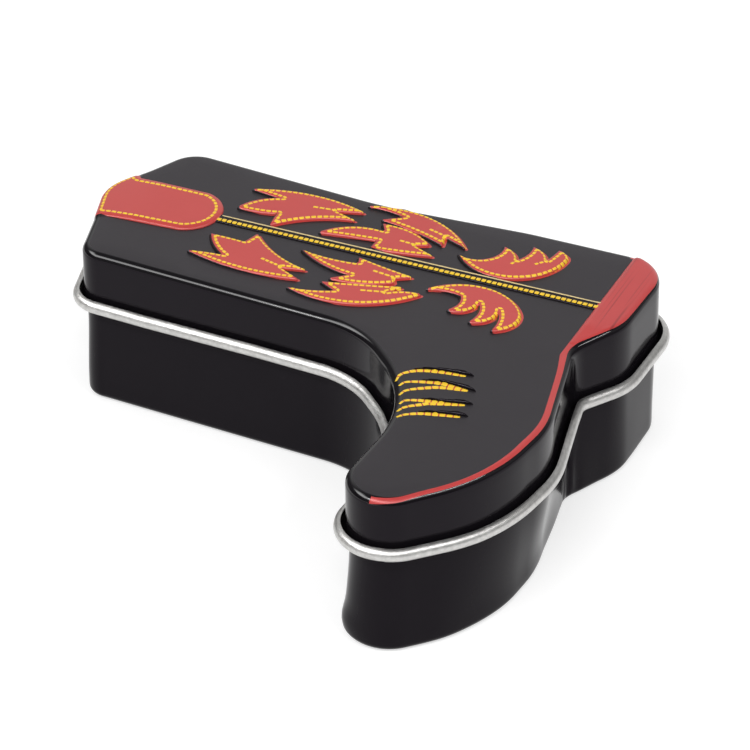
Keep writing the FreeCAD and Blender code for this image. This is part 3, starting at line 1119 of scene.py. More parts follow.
    def build(self, finishes: Finishes) -> bpy.types.Object:
        """Makes the lid and dresses it.

        Args:
            finishes: Material of each finish.

        Returns:
            The lid, riding on its body in place of the plain one.
        """
        draft = MeshDraft()
        coats, starts, stops = self.print_reach()
        upper = self.edge_round(starts, stops)
        lower, painted = self.below_round()
        sections = np.concatenate([upper, lower], axis=1)
        strips = np.full((len(upper), sections.shape[1] - 1), int(Coat.GLOSS_BLACK))
        first, printed, last = self.edge_steps
        # The upper part of the edge round takes the more reflective copy of the black lacquer, a painted
        # highlight; below it the gloss black goes on.
        strips[:, :first + printed + last // 2] = Coat.HIGHLIGHT_EDGE_BLACK
        strips[:, first:first + printed] = coats[:, None]
        strips[:, upper.shape[1] + painted - 1:] = Coat.BARE_TIN
        draft.sweep(placed(self.outline, sections), strips)
        plan, faces = self.panel()
        height = self.top + self.relief.lift(plan)
        draft.add(np.column_stack([plan, height]), faces, self.panel_coats(plan, faces))
        under = [face[::-1] for face in faces]
        draft.add(np.column_stack([plan, height - self.sheet]), under, [Coat.BARE_TIN] * len(under))
        lid = draft.piece("lid_pressing", finishes)
        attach(lid, Body.LID.value)
        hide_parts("lid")
        return lid


@dataclass(frozen=True)
class Bulge:
    """A stretch of the base wall's foot that stands out, or stands back where the amount is negative."""

    place: Place
    amount: float
    reach: float


@dataclass(frozen=True)
class DrawFold:
    """A small upright fold of the base wall: place along it, lean, width, ends in height, and depth."""

    place: float
    lean: float
    width: float
    low: float
    high: float
    depth: float


@dataclass
class BasePressing:
    """The drawn base in one sheet: floor, bottom round, wall and the hem inside its top edge."""

    outline: Outline
    sheet: float = 0.25
    inset: float = 0.4
    top: float = 23.25
    edge_radius: float = 1.1
    hem_depth: float = 1.6
    hem_gap: float = 0.1
    hem_steps: int = 6
    wall_steps: int = 26
    inner_steps: int = 8
    outer_steps: int = 10
    grid: float = 3.0

    # Flare above the bottom round on the instep side of the toe, with the direction it faces in degrees
    toe_flare: float = 0.5
    toe_flare_z: float = 2.1
    toe_flare_reach: float = 1.9
    toe_facing: float = -150.0
    toe_spread: float = 32.0
    toe_start_y: float = -20.0
    toe_growth: float = 9.0

    # Foot of the wall, whose changes end at the foot's top
    foot_top: float = 13.0
    foot_growth: float = 11.0
    foot_drift: Place = (-0.35, 0.0)
    foot_bulges: tuple[Bulge, ...] = (
        Bulge((38.6, -8.0), -0.75, 8.5), Bulge((26.0, -35.5), 0.2, 7.0), Bulge((40.2, 18.5), 0.35, 6.0),
        Bulge((40.3, 27.0), 0.2, 7.0), Bulge((36.6, 9.0), 0.7, 4.5), Bulge((16.5, -31.0), 0.3, 7.0),
        Bulge((31.5, -29.0), 0.5, 5.5))

    # Hollow corner before the heel
    waist_place: Place = (35.2, 8.6)
    waist_slip: Place = (-0.45, -1.2)
    waist_slip_reach: float = 5.0
    waist_fold: float = 0.22
    waist_fold_ends: Place = (0.8, 2.5)
    waist_folds: tuple[DrawFold, ...] = (
        DrawFold(-0.2, 0.03, 0.32, 0.5, 9.5, -1.0), DrawFold(0.7, -0.05, 0.24, 1.0, 7.5, 0.7),
        DrawFold(-1.2, 0.10, 0.28, 0.6, 6.0, 0.8), DrawFold(1.7, -0.02, 0.3, 0.4, 5.0, -0.6),
        DrawFold(-2.3, 0.16, 0.25, 2.6, 5.4, -0.7))

    def section(self) -> tuple[np.ndarray, int]:
        """Draws the sheet, from the floor inside over the hem to the floor underneath.

        Returns:
            The section, and how many of its points lie on the bare inside.
        """
        edge = (-self.inset - self.edge_radius, self.edge_radius)
        fold = self.sheet + 0.5 * self.hem_gap
        crown = (-self.inset - fold, self.top - fold)
        hem_z = self.top - self.hem_depth
        hem_in, hem_out = crown[0] - fold, crown[0] - 0.5 * self.hem_gap
        rise = np.linspace(self.edge_radius, crown[1], self.wall_steps)[1:-1]
        inside = np.column_stack([np.full(len(rise), -self.inset - self.sheet), rise])
        outside = np.column_stack([np.full(len(rise), -self.inset), rise[::-1]])
        bare = np.vstack([arc(edge, self.edge_radius - self.sheet, 270.0, 360.0, self.inner_steps), inside,
                          arc(crown, 0.5 * self.hem_gap, 0.0, 180.0, self.hem_steps), [(hem_out, hem_z)]])
        painted = np.vstack([[(hem_in, hem_z)], arc(crown, fold, 180.0, 0.0, self.outer_steps), outside,
                             arc(edge, self.edge_radius, 360.0, 270.0, self.outer_steps)])
        return np.vstack([bare, painted]), len(bare)

    def toe_shift(self, section: np.ndarray) -> np.ndarray:
        """Finds how far the wall flares out at the toe.

        Args:
            section: Rows of outward and height.

        Returns:
            The shift at each station for each row of the section.
        """
        facing = np.degrees(np.arctan2(self.outline.outward[:, 1], self.outline.outward[:, 0]))
        toe = np.clip((self.toe_start_y - self.outline.points[:, 1]) / self.toe_growth, 0.0, 1.0)
        around = np.exp(-((facing - self.toe_facing) / self.toe_spread) ** 2) * eased(toe)
        height = np.exp(-((section[:, 1] - self.toe_flare_z) / self.toe_flare_reach) ** 2)
        return self.toe_flare * around[:, None] * height

    def foot_share(self, section: np.ndarray) -> np.ndarray:
        """How much of the foot's changes each row of a section takes: all at the foot, none high up."""
        return eased(np.clip((self.foot_top - section[:, 1]) / self.foot_growth, 0.0, 1.0))

    def foot_shift(self, section: np.ndarray) -> np.ndarray:
        """Finds how far the foot of the wall stands out from the wall's top edge.

        Args:
            section: Rows of outward and height.

        Returns:
            The shift at each station for each row of the section.
        """
        shift = self.outline.outward @ np.array(self.foot_drift)
        for bulge in self.foot_bulges:
            shift = shift + bulge.amount * fall_off(self.outline.points, bulge.place, bulge.reach)
        return shift[:, None] * self.foot_share(section)

    def slip(self) -> np.ndarray:
        """How far the foot of the wall has crept along the sole before the heel, at each station."""
        share = fall_off(self.outline.points, self.waist_place, self.waist_slip_reach)
        return share[:, None] * np.array(self.waist_slip)

    def waist_shift(self, section: np.ndarray) -> np.ndarray:
        """Finds the small folds that the drawing leaves low in the hollow corner before the heel.

        Args:
            section: Rows of outward and height.

        Returns:
            The shift at each station for each row of the section.
        """
        centre = self.outline.nearest(self.waist_place, 0.0)
        runs = Chain(self.outline.points, True).runs()[:-1]
        along = (runs - runs[centre])[:, None]
        z = section[None, :, 1]
        start, end = self.waist_fold_ends
        shift = np.zeros((len(runs), len(section)))
        for fold in self.waist_folds:
            ridge = np.exp(-((along - fold.place - fold.lean * (z - fold.low)) / fold.width) ** 2)
            window = np.clip((z - fold.low) / start, 0.0, 1.0) * np.clip((fold.high - z) / end, 0.0, 1.0)
            shift += fold.depth * self.waist_fold * ridge * window
        return shift

    def inside_wall(self, z: float) -> ClosedCurve:
        """Finds the inside of the wall at one height.

        Args:
            z: The height.

        Returns:
            Its plan.
        """
        level = np.array([(0.0, z)])
        ring = self.outline.moved(self.foot_shift(level)[:, 0] - self.inset - self.sheet)
        return ClosedCurve(ring + self.slip() * self.foot_share(level))

    def floor(self, shift: np.ndarray) -> tuple[np.ndarray, Triangles]:
        """The floor divided into triangles, with its edge moved out by a shift at each station."""
        ring = self.outline.moved(shift - self.inset - self.edge_radius) + self.slip()
        return divided(Chain(ring, True), [], self.grid)

    def build(self, finishes: Finishes) -> bpy.types.Object:
        """Makes the base and dresses it.

        Args:
            finishes: Material of each finish.

        Returns:
            The base, riding on its body in place of the plain one.
        """
        draft = MeshDraft()
        section, bare = self.section()
        sections = np.repeat(section[None], len(self.outline.points), 0)
        foot = self.foot_shift(section)
        sections[..., 0] += foot + self.toe_shift(section) + self.waist_shift(section)
        # The base's painted side takes the darker copy of the gloss black, painted shade.
        strips = np.full((len(sections), len(section) - 1), int(Coat.SHADED_BASE_BLACK))
        strips[:, :bare] = Coat.BARE_TIN
        places = placed(self.outline, sections)
        places[..., :2] += self.slip()[:, None] * self.foot_share(section)[:, None]
        draft.sweep(places, strips)
        plan, faces = self.floor(foot[:, 0])
        upper = np.full(len(plan), self.sheet)
        draft.add(np.column_stack([plan, upper]), faces, [Coat.BARE_TIN] * len(faces))
        under = [face[::-1] for face in faces]
        # The underside also takes the darker copy of the gloss black, painted shade.
        draft.add(np.column_stack([plan, np.zeros(len(plan))]), under, [Coat.SHADED_BASE_BLACK] * len(under))
        base = draft.piece("base_pressing", finishes)
        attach(base, Body.BASE.value)
        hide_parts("base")
        return base


# Stitching and lines on the lid


@dataclass(frozen=True)
class Thread:
    """One kind of stitch line: length of a dash, gap, width and how far it stands up."""

    length: float
    gap: float
    width: float
    rise: float


@dataclass
class Stitching:
    """Raised stitch lines on the lid panel."""

    lid: LidPressing
    motif_thread: Thread = Thread(0.66, 0.17, 0.44, 0.05)
    motif_inset: float = 0.36
    tip_gap: float = 0.4
    line_points: int = 12
    strap_thread: Thread = Thread(0.68, 0.16, 0.46, 0.05)
    strap_inset: float = 1.0
    strap_edge: float = -0.25
    seam_thread: Thread = Thread(0.64, 0.14, 0.68, 0.06)
    seam_thread_y: float = -0.42
    seam_line: Thread = Thread(55.0, 0.0, 0.30, 0.04)
    seam_line_y: float = 0.62
    seam_ends: Place = (0.2, 0.1)
    seam_points: int = 60
    crease_thread: Thread = Thread(0.84, 0.12, 0.67, 0.07)
    crease_profile: Knots = ((0.0, 0.15, 0.35, 0.6, 0.9, 1.0), (0.5, 0.75, 1.05, 1.15, 0.85, 0.5))

    # Red ground between the dashes of a crease
    ground_width: float = 0.85
    ground_rise: float = 0.5
    ground_overlap: float = 0.03

    # Shape of a dash: how it is divided, how deep it is set, and how its ends are rounded
    across: int = 5
    along: int = 5
    longest: float = 0.5
    bunching: float = 0.25
    sunk: float = 0.06
    settled: float = 0.004
    end_power: int = 8
    end_taper: float = 0.35

    def dash(self, draft: MeshDraft, chain: Chain, ends: Place, width: Callable[[np.ndarray], np.ndarray],
             rise: float, coat: Coat) -> None:
        """Adds one raised dash that lies on the panel.

        Args:
            draft: What it is added to.
            chain: The line that it follows.
            ends: Where along the chain it starts and ends.
            width: Its width at each distance along the chain.
            rise: How far its middle stands above the panel.
            coat: Its finish.
        """
        across, count = self.across, max(self.along, math.ceil((ends[1] - ends[0]) / self.longest))
        u, v = np.linspace(-1.0, 1.0, across), np.linspace(-1.0, 1.0, count)
        if count == self.along:
            v = np.sign(v) * np.abs(v) ** self.bunching
        end = v[:, None] ** self.end_power
        run = 0.5 * (ends[0] + ends[1]) + 0.5 * (ends[1] - ends[0]) * v
        middle = chain.at(run)
        side = left_of(unit(np.gradient(middle, run, axis=0)))
        spread = 0.5 * width(run)[:, None] * np.sqrt(1.0 - self.end_taper * end) * u
        plan = (middle[:, None] + spread[..., None] * side[:, None]).reshape(-1, 2)
        swell = np.sqrt(np.clip(1.0 - u ** 2, 0.0, 1.0)) * np.sqrt(np.clip(1.0 - end, 0.0, 1.0))
        upper = np.column_stack([plan, self.lid.ground(plan) + rise * swell.ravel() - self.settled])
        faces = [(i * across + j, (i + 1) * across + j, (i + 1) * across + j + 1, i * across + j + 1)
                 for i in range(count - 1) for j in range(across - 1)]
        rim = ([i * across for i in range(count)] + [(count - 1) * across + j for j in range(1, across)]
               + [i * across + across - 1 for i in range(count - 2, -1, -1)]
               + list(range(across - 2, 0, -1)))
        lower = upper[rim] - np.array([0.0, 0.0, self.sunk])
        size, after = len(upper), rim[1:] + rim[:1]
        faces += [(rim[k], size + k, size + (k + 1) % len(rim), after[k]) for k in range(len(rim))]
        faces.append(tuple(size + k for k in range(len(rim)))[::-1])
        draft.add(np.vstack([upper, lower]), [face[::-1] for face in faces], [coat] * len(faces))

    def line(self, draft: MeshDraft, chain: Chain, thread: Thread, coat: Coat = Coat.YELLOW_THREAD) -> None:
        """Adds dashes along a chain, with a whole number of them from end to end.

        Args:
            draft: What they are added to.
            chain: The line that they follow.
            thread: Kind of stitch line.
            coat: Their finish.
        """
        total = float(chain.runs()[-1])
        if total < thread.length:
            return
        total += 0.0 if chain.closed else thread.gap
        count = max(1, round(total / (thread.length + thread.gap)))
        pitch = total / count
        for k in range(count):
            ends = (k * pitch, k * pitch + pitch - thread.gap)
            self.dash(draft, chain, ends, lambda run: np.full(len(run), thread.width), thread.rise, coat)

    def crease(self, draft: MeshDraft, places: Sequence[Place]) -> None:
        """Adds the stitches of a vamp crease, which widen and then taper to a point.

        Args:
            draft: What they are added to.
            places: Where the crease goes through.
        """
        thread, chain = self.crease_thread, Chain(smooth_line(places, self.lid.ornament.step))
        total = float(chain.runs()[-1])

        def width(run: np.ndarray) -> np.ndarray:
            """Width of the stitches at each distance along the crease."""
            return thread.width * np.interp(np.clip(run / total, 0.0, 1.0), *self.crease_profile)

        count = max(1, round(total / (thread.length + thread.gap)))
        pitch = total / count
        for k in range(count):
            start, end = k * pitch, (k + 1) * pitch - thread.gap
            self.dash(draft, chain, (start, end), width, thread.rise, Coat.YELLOW_THREAD)
            if k + 1 < count:
                ends = (end - self.ground_overlap, (k + 1) * pitch + self.ground_overlap)
                self.dash(draft, chain, ends, lambda run: self.ground_width * width(run),
                          self.ground_rise * thread.rise, Coat.RED_ENAMEL)

    def build(self, finishes: Finishes) -> list[bpy.types.Object]:
        """Makes the stitch lines and dresses them.

        Args:
            finishes: Material of each finish.

        Returns:
            The pieces, riding on the lid.
        """
        ornament = self.lid.ornament
        motifs, others, creases = MeshDraft(), MeshDraft(), MeshDraft()
        for motif in ornament.motifs():
            for chain in ornament.edge(motif).inset(self.motif_inset):
                self.line(motifs, chain, self.motif_thread)
        for start, end in ornament.slits() + ornament.tips(self.motif_inset, self.tip_gap):
            self.line(motifs, Chain(np.linspace(start, end, self.line_points)), self.motif_thread)
        for chain in ornament.strap_area(self.strap_edge).inset(self.strap_inset):
            self.line(others, chain, self.strap_thread)
        start_x, end_x = ornament.seam_start_x + self.seam_ends[0], ornament.seam_end_x - self.seam_ends[1]
        seam_x = np.linspace(start_x, end_x, self.seam_points)
        for offset, thread, coat in ((self.seam_thread_y, self.seam_thread, Coat.YELLOW_THREAD),
                                     (self.seam_line_y, self.seam_line, Coat.PALE_GOLD)):
            chain = Chain(np.column_stack([seam_x, np.full(len(seam_x), ornament.seam_y + offset)]))
            self.line(others, chain, thread, coat)
        for places in ornament.creases:
            self.crease(creases, places)
        made = [motifs.piece("motif_stitches", finishes), others.piece("strap_and_seam_stitches", finishes),
                creases.piece("crease_stitches", finishes)]
        for piece in made:
            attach(piece, Body.LID.value)
        return made


# Contents


@dataclass
class PeppermintFill:
    """Pressed tablets, one for each plain tablet of the frame."""

    base: BasePressing
    bevel: float = 0.75
    bevel_depth: float = 0.7
    bevel_points: int = 6
    crown: float = 0.12
    segments: int = 40
    wall_gap: float = 0.3
    gap: float = 0.05
    rounds: int = 60
    weld: float = 1e-6

    def places(self, node: bpy.types.Object) -> list[Pair]:
        """Finds the tablets of the frame.

        Args:
            node: The plain tablets.

        Returns:
            Lowest and highest corner of each, in millimetres.
        """
        shell = bmesh.new()
        shell.from_mesh(node.data)
        bmesh.ops.remove_doubles(shell, verts=shell.verts, dist=self.weld)
        waiting, found = set(shell.verts), []
        while waiting:
            stack, island = [waiting.pop()], []
            while stack:
                here = stack.pop()
                island.append(tuple(here.co))
                linked = {edge.other_vert(here) for edge in here.link_edges} & waiting
                waiting -= linked
                stack += linked
            corners = np.array(island) / MM
            found.append((corners.min(0), corners.max(0)))
        shell.free()
        return sorted(found, key=lambda box: tuple(np.round(box[0], 3)))

    def settled(self, middles: np.ndarray, radius: float, z: float) -> np.ndarray:
        """Eases one layer of tablets off the wall and off each other.

        Args:
            middles: Plan places in the frame.
            radius: Radius of a tablet.
            z: Height at which the layer is nearest to the wall.

        Returns:
            The new places.
        """
        wall = self.base.inside_wall(z)
        found = middles.copy()
        for _ in range(self.rounds):
            away = found - wall.nearest(found)
            apart = np.linalg.norm(away, axis=1, keepdims=True)
            found += np.maximum(radius + self.wall_gap - apart, 0.0) * away / apart
            for i, here in enumerate(found):
                for there in found[:i]:
                    between = here - there
                    distance = float(np.linalg.norm(between))
                    push = 0.5 * max(2.0 * radius + self.gap - distance, 0.0) * between / distance
                    here += push
                    there -= push
        return found

    def profile(self, radius: float, height: float) -> np.ndarray:
        """Draws half the section of a tablet.

        Args:
            radius: Radius of the tablet.
            height: Its thickness.

        Returns:
            Rows of radius and height, from near its lower middle to near its upper middle.
        """
        angles = np.radians(np.linspace(0.0, 90.0, self.bevel_points))
        rim = self.bevel * (1.0 - np.cos(angles))
        drop = self.bevel * self.bevel_depth * (1.0 - np.sin(angles))
        upper = [(radius - r, height - self.crown - d) for r, d in zip(rim, drop)]
        flat = (0.5 * (radius - self.bevel), height - 0.25 * self.crown)
        half = [*upper, flat]
        return np.array([(r, height - z) for r, z in half[::-1]] + half)

    def build(self, node: bpy.types.Object, finishes: Finishes) -> bpy.types.Object:
        """Makes the tablets and dresses them.

        Args:
            node: The plain tablets of the frame.
            finishes: Material of each finish.

        Returns:
            The tablets, riding on the base in place of the plain ones.
        """
        draft = MeshDraft()
        angles = np.arange(self.segments) * 2.0 * math.pi / self.segments
        boxes = self.places(node)
        radius = 0.5 * float(boxes[0][1][0] - boxes[0][0][0])
        middles = np.array([0.5 * (low + high)[:2] for low, high in boxes])
        floors = np.array([round(float(low[2]), 3) for low, _ in boxes])
        for z in sorted(set(floors)):
            layer = floors == z
            middles[layer] = self.settled(middles[layer], radius, z)
        for (x, y), (low, high) in zip(middles, boxes):
            profile = self.profile(radius, float(high[2] - low[2]))
            rings = [np.column_stack([x + r * np.cos(angles), y + r * np.sin(angles),
                                      np.full(self.segments, low[2] + z)]) for r, z in profile]
            points = np.vstack([*rings, [(x, y, low[2])], [(x, y, high[2])]])
            count, size = len(profile), self.segments
            faces = []
            for k in range(size):
                after = (k + 1) % size
                faces += [(j * size + k, j * size + after, (j + 1) * size + after, (j + 1) * size + k)
                          for j in range(count - 1)]
                faces.append((count * size, after, k))
                faces.append((count * size + 1, (count - 1) * size + k, (count - 1) * size + after))
            draft.add(points, faces, [Coat.PEPPERMINT] * len(faces))
        fill = draft.piece("peppermint_tablets", finishes)
        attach(fill, Body.BASE.value)
        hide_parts("peppermints")
        return fill


# Finishes


class NodeSheet:
    """A short way to lay out shader nodes. A value may also be a socket, which is then linked."""

    def __init__(self, tree: bpy.types.NodeTree) -> None:
        """Starts on a node tree."""
        self.tree = tree

    def feed(self, socket: Socket, value: Any) -> None:
        """Gives an input its value.

        Args:
            socket: The input.
            value: What it is set to, or the socket that it is linked from.
        """
        if isinstance(value, Socket):
            self.tree.links.new(value, socket)
        else:
            socket.default_value = value

    def add(self, kind: str, inputs: dict[str, Any] | None = None, **settings: Any) -> bpy.types.Node:
        """Adds a node.

        Args:
            kind: Blender's name of the node type.
            inputs: Values by input name.
            settings: Properties of the node.

        Returns:
            The node.
        """
        node = self.tree.nodes.new(kind)
        for name, value in settings.items():
            setattr(node, name, value)
        for name, value in (inputs or {}).items():
            self.feed(node.inputs[name], value)
        return node

    def math(self, operation: str, first: Any, second: Any) -> Socket:
        """Adds a sum of two values.

        Args:
            operation: Blender's name of the kind of sum.
            first: Value that it starts from.
            second: The other value.

        Returns:
            The result.
        """
        node = self.add("ShaderNodeMath", operation=operation)
        self.feed(node.inputs[0], first)
        self.feed(node.inputs[1], second)
        return node.outputs[0]

    def place(self) -> Socket:
        """Adds the piece's own coordinates."""
        return self.add("ShaderNodeTexCoord").outputs["Object"]

    def axes(self, place: Socket) -> dict[str, Socket]:
        """Divides coordinates by axis."""
        return dict(self.add("ShaderNodeSeparateXYZ", {"Vector": place}).outputs.items())

    def noise(self, place: Socket, scale: Any, detail: Any) -> Socket:
        """Adds cloudy noise."""
        inputs = {"Vector": place, "Scale": scale, "Detail": detail}
        return self.add("ShaderNodeTexNoise", inputs).outputs["Fac"]

    def fade(self, value: Any, ends: Place, levels: Place = (0.0, 1.0)) -> Socket:
        """Adds a change from one level to another while a value goes from one end to the other."""
        inputs = {"Value": value, "From Min": ends[0], "From Max": ends[1],
                  "To Min": levels[0], "To Max": levels[1]}
        return self.add("ShaderNodeMapRange", inputs).outputs["Result"]

    def mix(self, share: Any, first: Any, second: Any) -> Socket:
        """Adds a mixture of two colours."""
        inputs = {"Factor": share, "A": first, "B": second}
        return self.add("ShaderNodeMix", inputs, data_type="RGBA").outputs["Result"]


class Effect(Enum):
    """Shared surface effects, each a node group."""

    RIPPLE = "surface_ripple"
    HANDLING = "handling_marks"
    DRAWN = "drawn_streaks"


class EffectLibrary:
    """Builds each shared effect once."""

    SPECK_CUT = (0.66, 0.78)

    def __init__(self) -> None:
        """Starts with nothing built."""
        self._made: dict[Effect, bpy.types.NodeTree] = {}

    def get(self, effect: Effect) -> bpy.types.NodeTree:
        """Finds an effect, and builds it where it isn't there yet.

        Args:
            effect: Which one.

        Returns:
            Its node group.
        """
        if effect not in self._made:
            builders = {Effect.RIPPLE: self._ripple, Effect.HANDLING: self._handling,
                        Effect.DRAWN: self._drawn}
            self._made[effect] = builders[effect]()
        return self._made[effect]

    @staticmethod
    def _start(effect: Effect, inputs: dict[str, float], outputs: Sequence[str]) -> tuple[NodeSheet, Any]:
        """Starts a group with named values in and out.

        Args:
            effect: The effect that it is for.
            inputs: Names and values of what goes in.
            outputs: Names of what comes out.

        Returns:
            The sheet of the group, and its inputs by name.
        """
        tree = bpy.data.node_groups.new(effect.value, "ShaderNodeTree")
        for name, value in inputs.items():
            socket = tree.interface.new_socket(name, in_out="INPUT", socket_type="NodeSocketFloat")
            socket.default_value = value
        for name in outputs:
            tree.interface.new_socket(name, in_out="OUTPUT", socket_type="NodeSocketFloat")
        sheet = NodeSheet(tree)
        return sheet, sheet.add("NodeGroupInput").outputs

    def _ripple(self) -> bpy.types.NodeTree:
        """Builds the slight unevenness of lacquer on sheet.

        Returns:
            The group, which puts out a height.
        """
        sheet, given = self._start(Effect.RIPPLE, {"Scale": 900.0, "Detail": 2.0}, ["Height"])
        height = sheet.noise(sheet.place(), given["Scale"], given["Detail"])
        sheet.add("NodeGroupOutput", {"Height": height})
        return sheet.tree

    def _handling(self) -> bpy.types.NodeTree:
        """Builds patchy dulling and fine specks.

        Returns:
            The group, which puts out a roughness and a mask.
        """
        inputs = {"Roughness": 0.3, "Spread": 0.08, "Patch": 120.0, "Speck": 2600.0}
        sheet, given = self._start(Effect.HANDLING, inputs, ["Roughness", "Specks"])
        place = sheet.place()
        patch = sheet.math("SUBTRACT", sheet.noise(place, given["Patch"], 4.0), 0.5)
        swing = sheet.math("MULTIPLY", sheet.math("MULTIPLY", patch, given["Spread"]), 2.0)
        rough = sheet.math("ADD", given["Roughness"], swing)
        specks = sheet.fade(sheet.noise(place, given["Speck"], 2.0), self.SPECK_CUT)
        sheet.add("NodeGroupOutput", {"Roughness": rough, "Specks": specks})
        return sheet.tree

    def _drawn(self) -> bpy.types.NodeTree:
        """Builds the faint upright streaks that drawing leaves in a wall.

        Returns:
            The group, which puts out a height.
        """
        sheet, given = self._start(Effect.DRAWN, {"Scale": 700.0, "Stretch": 0.06}, ["Height"])
        axes = sheet.axes(sheet.place())
        axes["Z"] = sheet.math("MULTIPLY", axes["Z"], given["Stretch"])
        drawn = sheet.add("ShaderNodeCombineXYZ", axes).outputs["Vector"]
        sheet.add("NodeGroupOutput", {"Height": sheet.noise(drawn, given["Scale"], 3.0)})
        return sheet.tree


class Surface:
    """A material while it is made."""

    def __init__(self, name: str, effects: EffectLibrary) -> None:
        """Starts a material.

        Args:
            name: Its name.
            effects: The shared effects.
        """
        self.material = bpy.data.materials.new(name)
        self.material.use_nodes = True
        self.sheet = NodeSheet(self.material.node_tree)
        self.effects = effects

    def effect(self, effect: Effect, values: dict[str, float]) -> Any:
        """Places a shared effect with its own values, and gives what comes out by name."""
        return self.sheet.add("ShaderNodeGroup", values, node_tree=self.effects.get(effect)).outputs

    def bump(self, height: Socket, strength: float, depth: float = 0.0001) -> Socket:
        """Adds unevenness, with its depth in metres."""
        inputs = {"Height": height, "Strength": strength, "Distance": depth}
        return self.sheet.add("ShaderNodeBump", inputs).outputs["Normal"]

    def dress(self, inputs: dict[str, Any]) -> bpy.types.Material:
        """Sets the material's shader.

        Args:
            inputs: Values by input name.

        Returns:
            The material.
        """
        shader = self.material.node_tree.nodes["Principled BSDF"]
        for name, value in inputs.items():
            self.sheet.feed(shader.inputs[name], value)
        return self.material


@dataclass(frozen=True)
class Lacquer:
    """A painted or printed finish on sheet."""

    name: str
    colour: Colour
    deep: Colour
    roughness: float
    spread: float
    bump: float
    ripple_scale: float
    ior: float = 1.5
    tint: Colour = (1.0, 1.0, 1.0, 1.0)
    streaks: bool = False
    grain: bool = False
    cloud_scale: float = 260.0
    cloud_detail: float = 3.0
    grain_scale: Triple = (2400.0, 30.0, 1.0)
    grain_cut: Place = (0.60, 0.70)
    grain_depth: float = 0.55
    grain_ends: Place = (0.006, 0.012)
    grain_colour: Colour = (0.16, 0.012, 0.014, 1.0)

    def build(self, effects: EffectLibrary) -> bpy.types.Material:
        """Makes the material.

        Args:
            effects: The shared effects.

        Returns:
            The material.
        """
        surface = Surface(self.name, effects)
        marks = surface.effect(Effect.HANDLING, {"Roughness": self.roughness, "Spread": self.spread})
        unevenness = Effect.DRAWN if self.streaks else Effect.RIPPLE
        ripple = surface.effect(unevenness, {"Scale": self.ripple_scale})
        sheet = surface.sheet
        cloud = sheet.noise(sheet.place(), self.cloud_scale, self.cloud_detail)
        colour = sheet.mix(cloud, self.colour, self.deep)
        return surface.dress({
            "Base Color": self._grained(sheet, colour) if self.grain else colour,
            "Roughness": marks["Roughness"], "IOR": self.ior, "Specular Tint": self.tint,
            "Normal": surface.bump(ripple["Height"], self.bump)})

    def _grained(self, sheet: NodeSheet, colour: Socket) -> Socket:
        """Adds fine dark broken lines along the heel.

        Args:
            sheet: Where the nodes go.
            colour: The plain colour.

        Returns:
            The colour with the lines.
        """
        place = sheet.place()
        drawn = sheet.add("ShaderNodeMapping", {"Vector": place, "Scale": self.grain_scale})
        noise = sheet.noise(drawn.outputs["Vector"], 1.0, 1.0)
        lines = sheet.fade(noise, self.grain_cut, (0.0, self.grain_depth))
        heel = sheet.fade(sheet.axes(place)["Y"], self.grain_ends)
        return sheet.mix(sheet.math("MULTIPLY", lines, heel), colour, self.grain_colour)


@dataclass(frozen=True)
class Tinplate:
    """Bare tinned sheet with a satin sheen."""

    name: str
    bright: Colour
    dull: Colour
    roughness: float
    spread: float
    bump: float
    patch_scale: float = 900.0
    ripple_scale: float = 2200.0
    cloud_scale: float = 1500.0
    cloud_detail: float = 4.0

    def build(self, effects: EffectLibrary) -> bpy.types.Material:
        """Makes the material.

        Args:
            effects: The shared effects.

        Returns:
            The material.
        """
        surface = Surface(self.name, effects)
        values = {"Roughness": self.roughness, "Spread": self.spread, "Patch": self.patch_scale}
        marks = surface.effect(Effect.HANDLING, values)
        ripple = surface.effect(Effect.RIPPLE, {"Scale": self.ripple_scale})
        sheet = surface.sheet
        cloud = sheet.noise(sheet.place(), self.cloud_scale, self.cloud_detail)
        colour = sheet.mix(cloud, self.bright, self.dull)
        return surface.dress({"Base Color": colour, "Metallic": 1.0, "Roughness": marks["Roughness"],
                              "Normal": surface.bump(ripple["Height"], self.bump)})


@dataclass(frozen=True)
class PressedSugar:
    """Chalky white tablet with faint specks."""

    name: str
    colour: Colour
    speck: Colour
    roughness: float
    speck_scale: float = 3200.0
    grain_scale: float = 2600.0
    grain_detail: float = 6.0
    bump: float = 0.6
    bump_depth: float = 0.0002
    glow_weight: float = 0.25
    glow_radius: Triple = (0.0012, 0.0011, 0.001)

    def build(self, effects: EffectLibrary) -> bpy.types.Material:
        """Makes the material.

        Args:
            effects: The shared effects.

        Returns:
            The material.
        """
        surface = Surface(self.name, effects)
        marks = surface.effect(Effect.HANDLING, {"Roughness": self.roughness, "Speck": self.speck_scale})
        grain = surface.effect(Effect.RIPPLE, {"Scale": self.grain_scale, "Detail": self.grain_detail})
        return surface.dress({
            "Base Color": surface.sheet.mix(marks["Specks"], self.colour, self.speck),
            "Roughness": marks["Roughness"], "Subsurface Weight": self.glow_weight,
            "Subsurface Radius": self.glow_radius,
            "Normal": surface.bump(grain["Height"], self.bump, self.bump_depth)})


VIOLET_SHEEN: Colour = (1.0, 0.88, 1.03, 1.0)


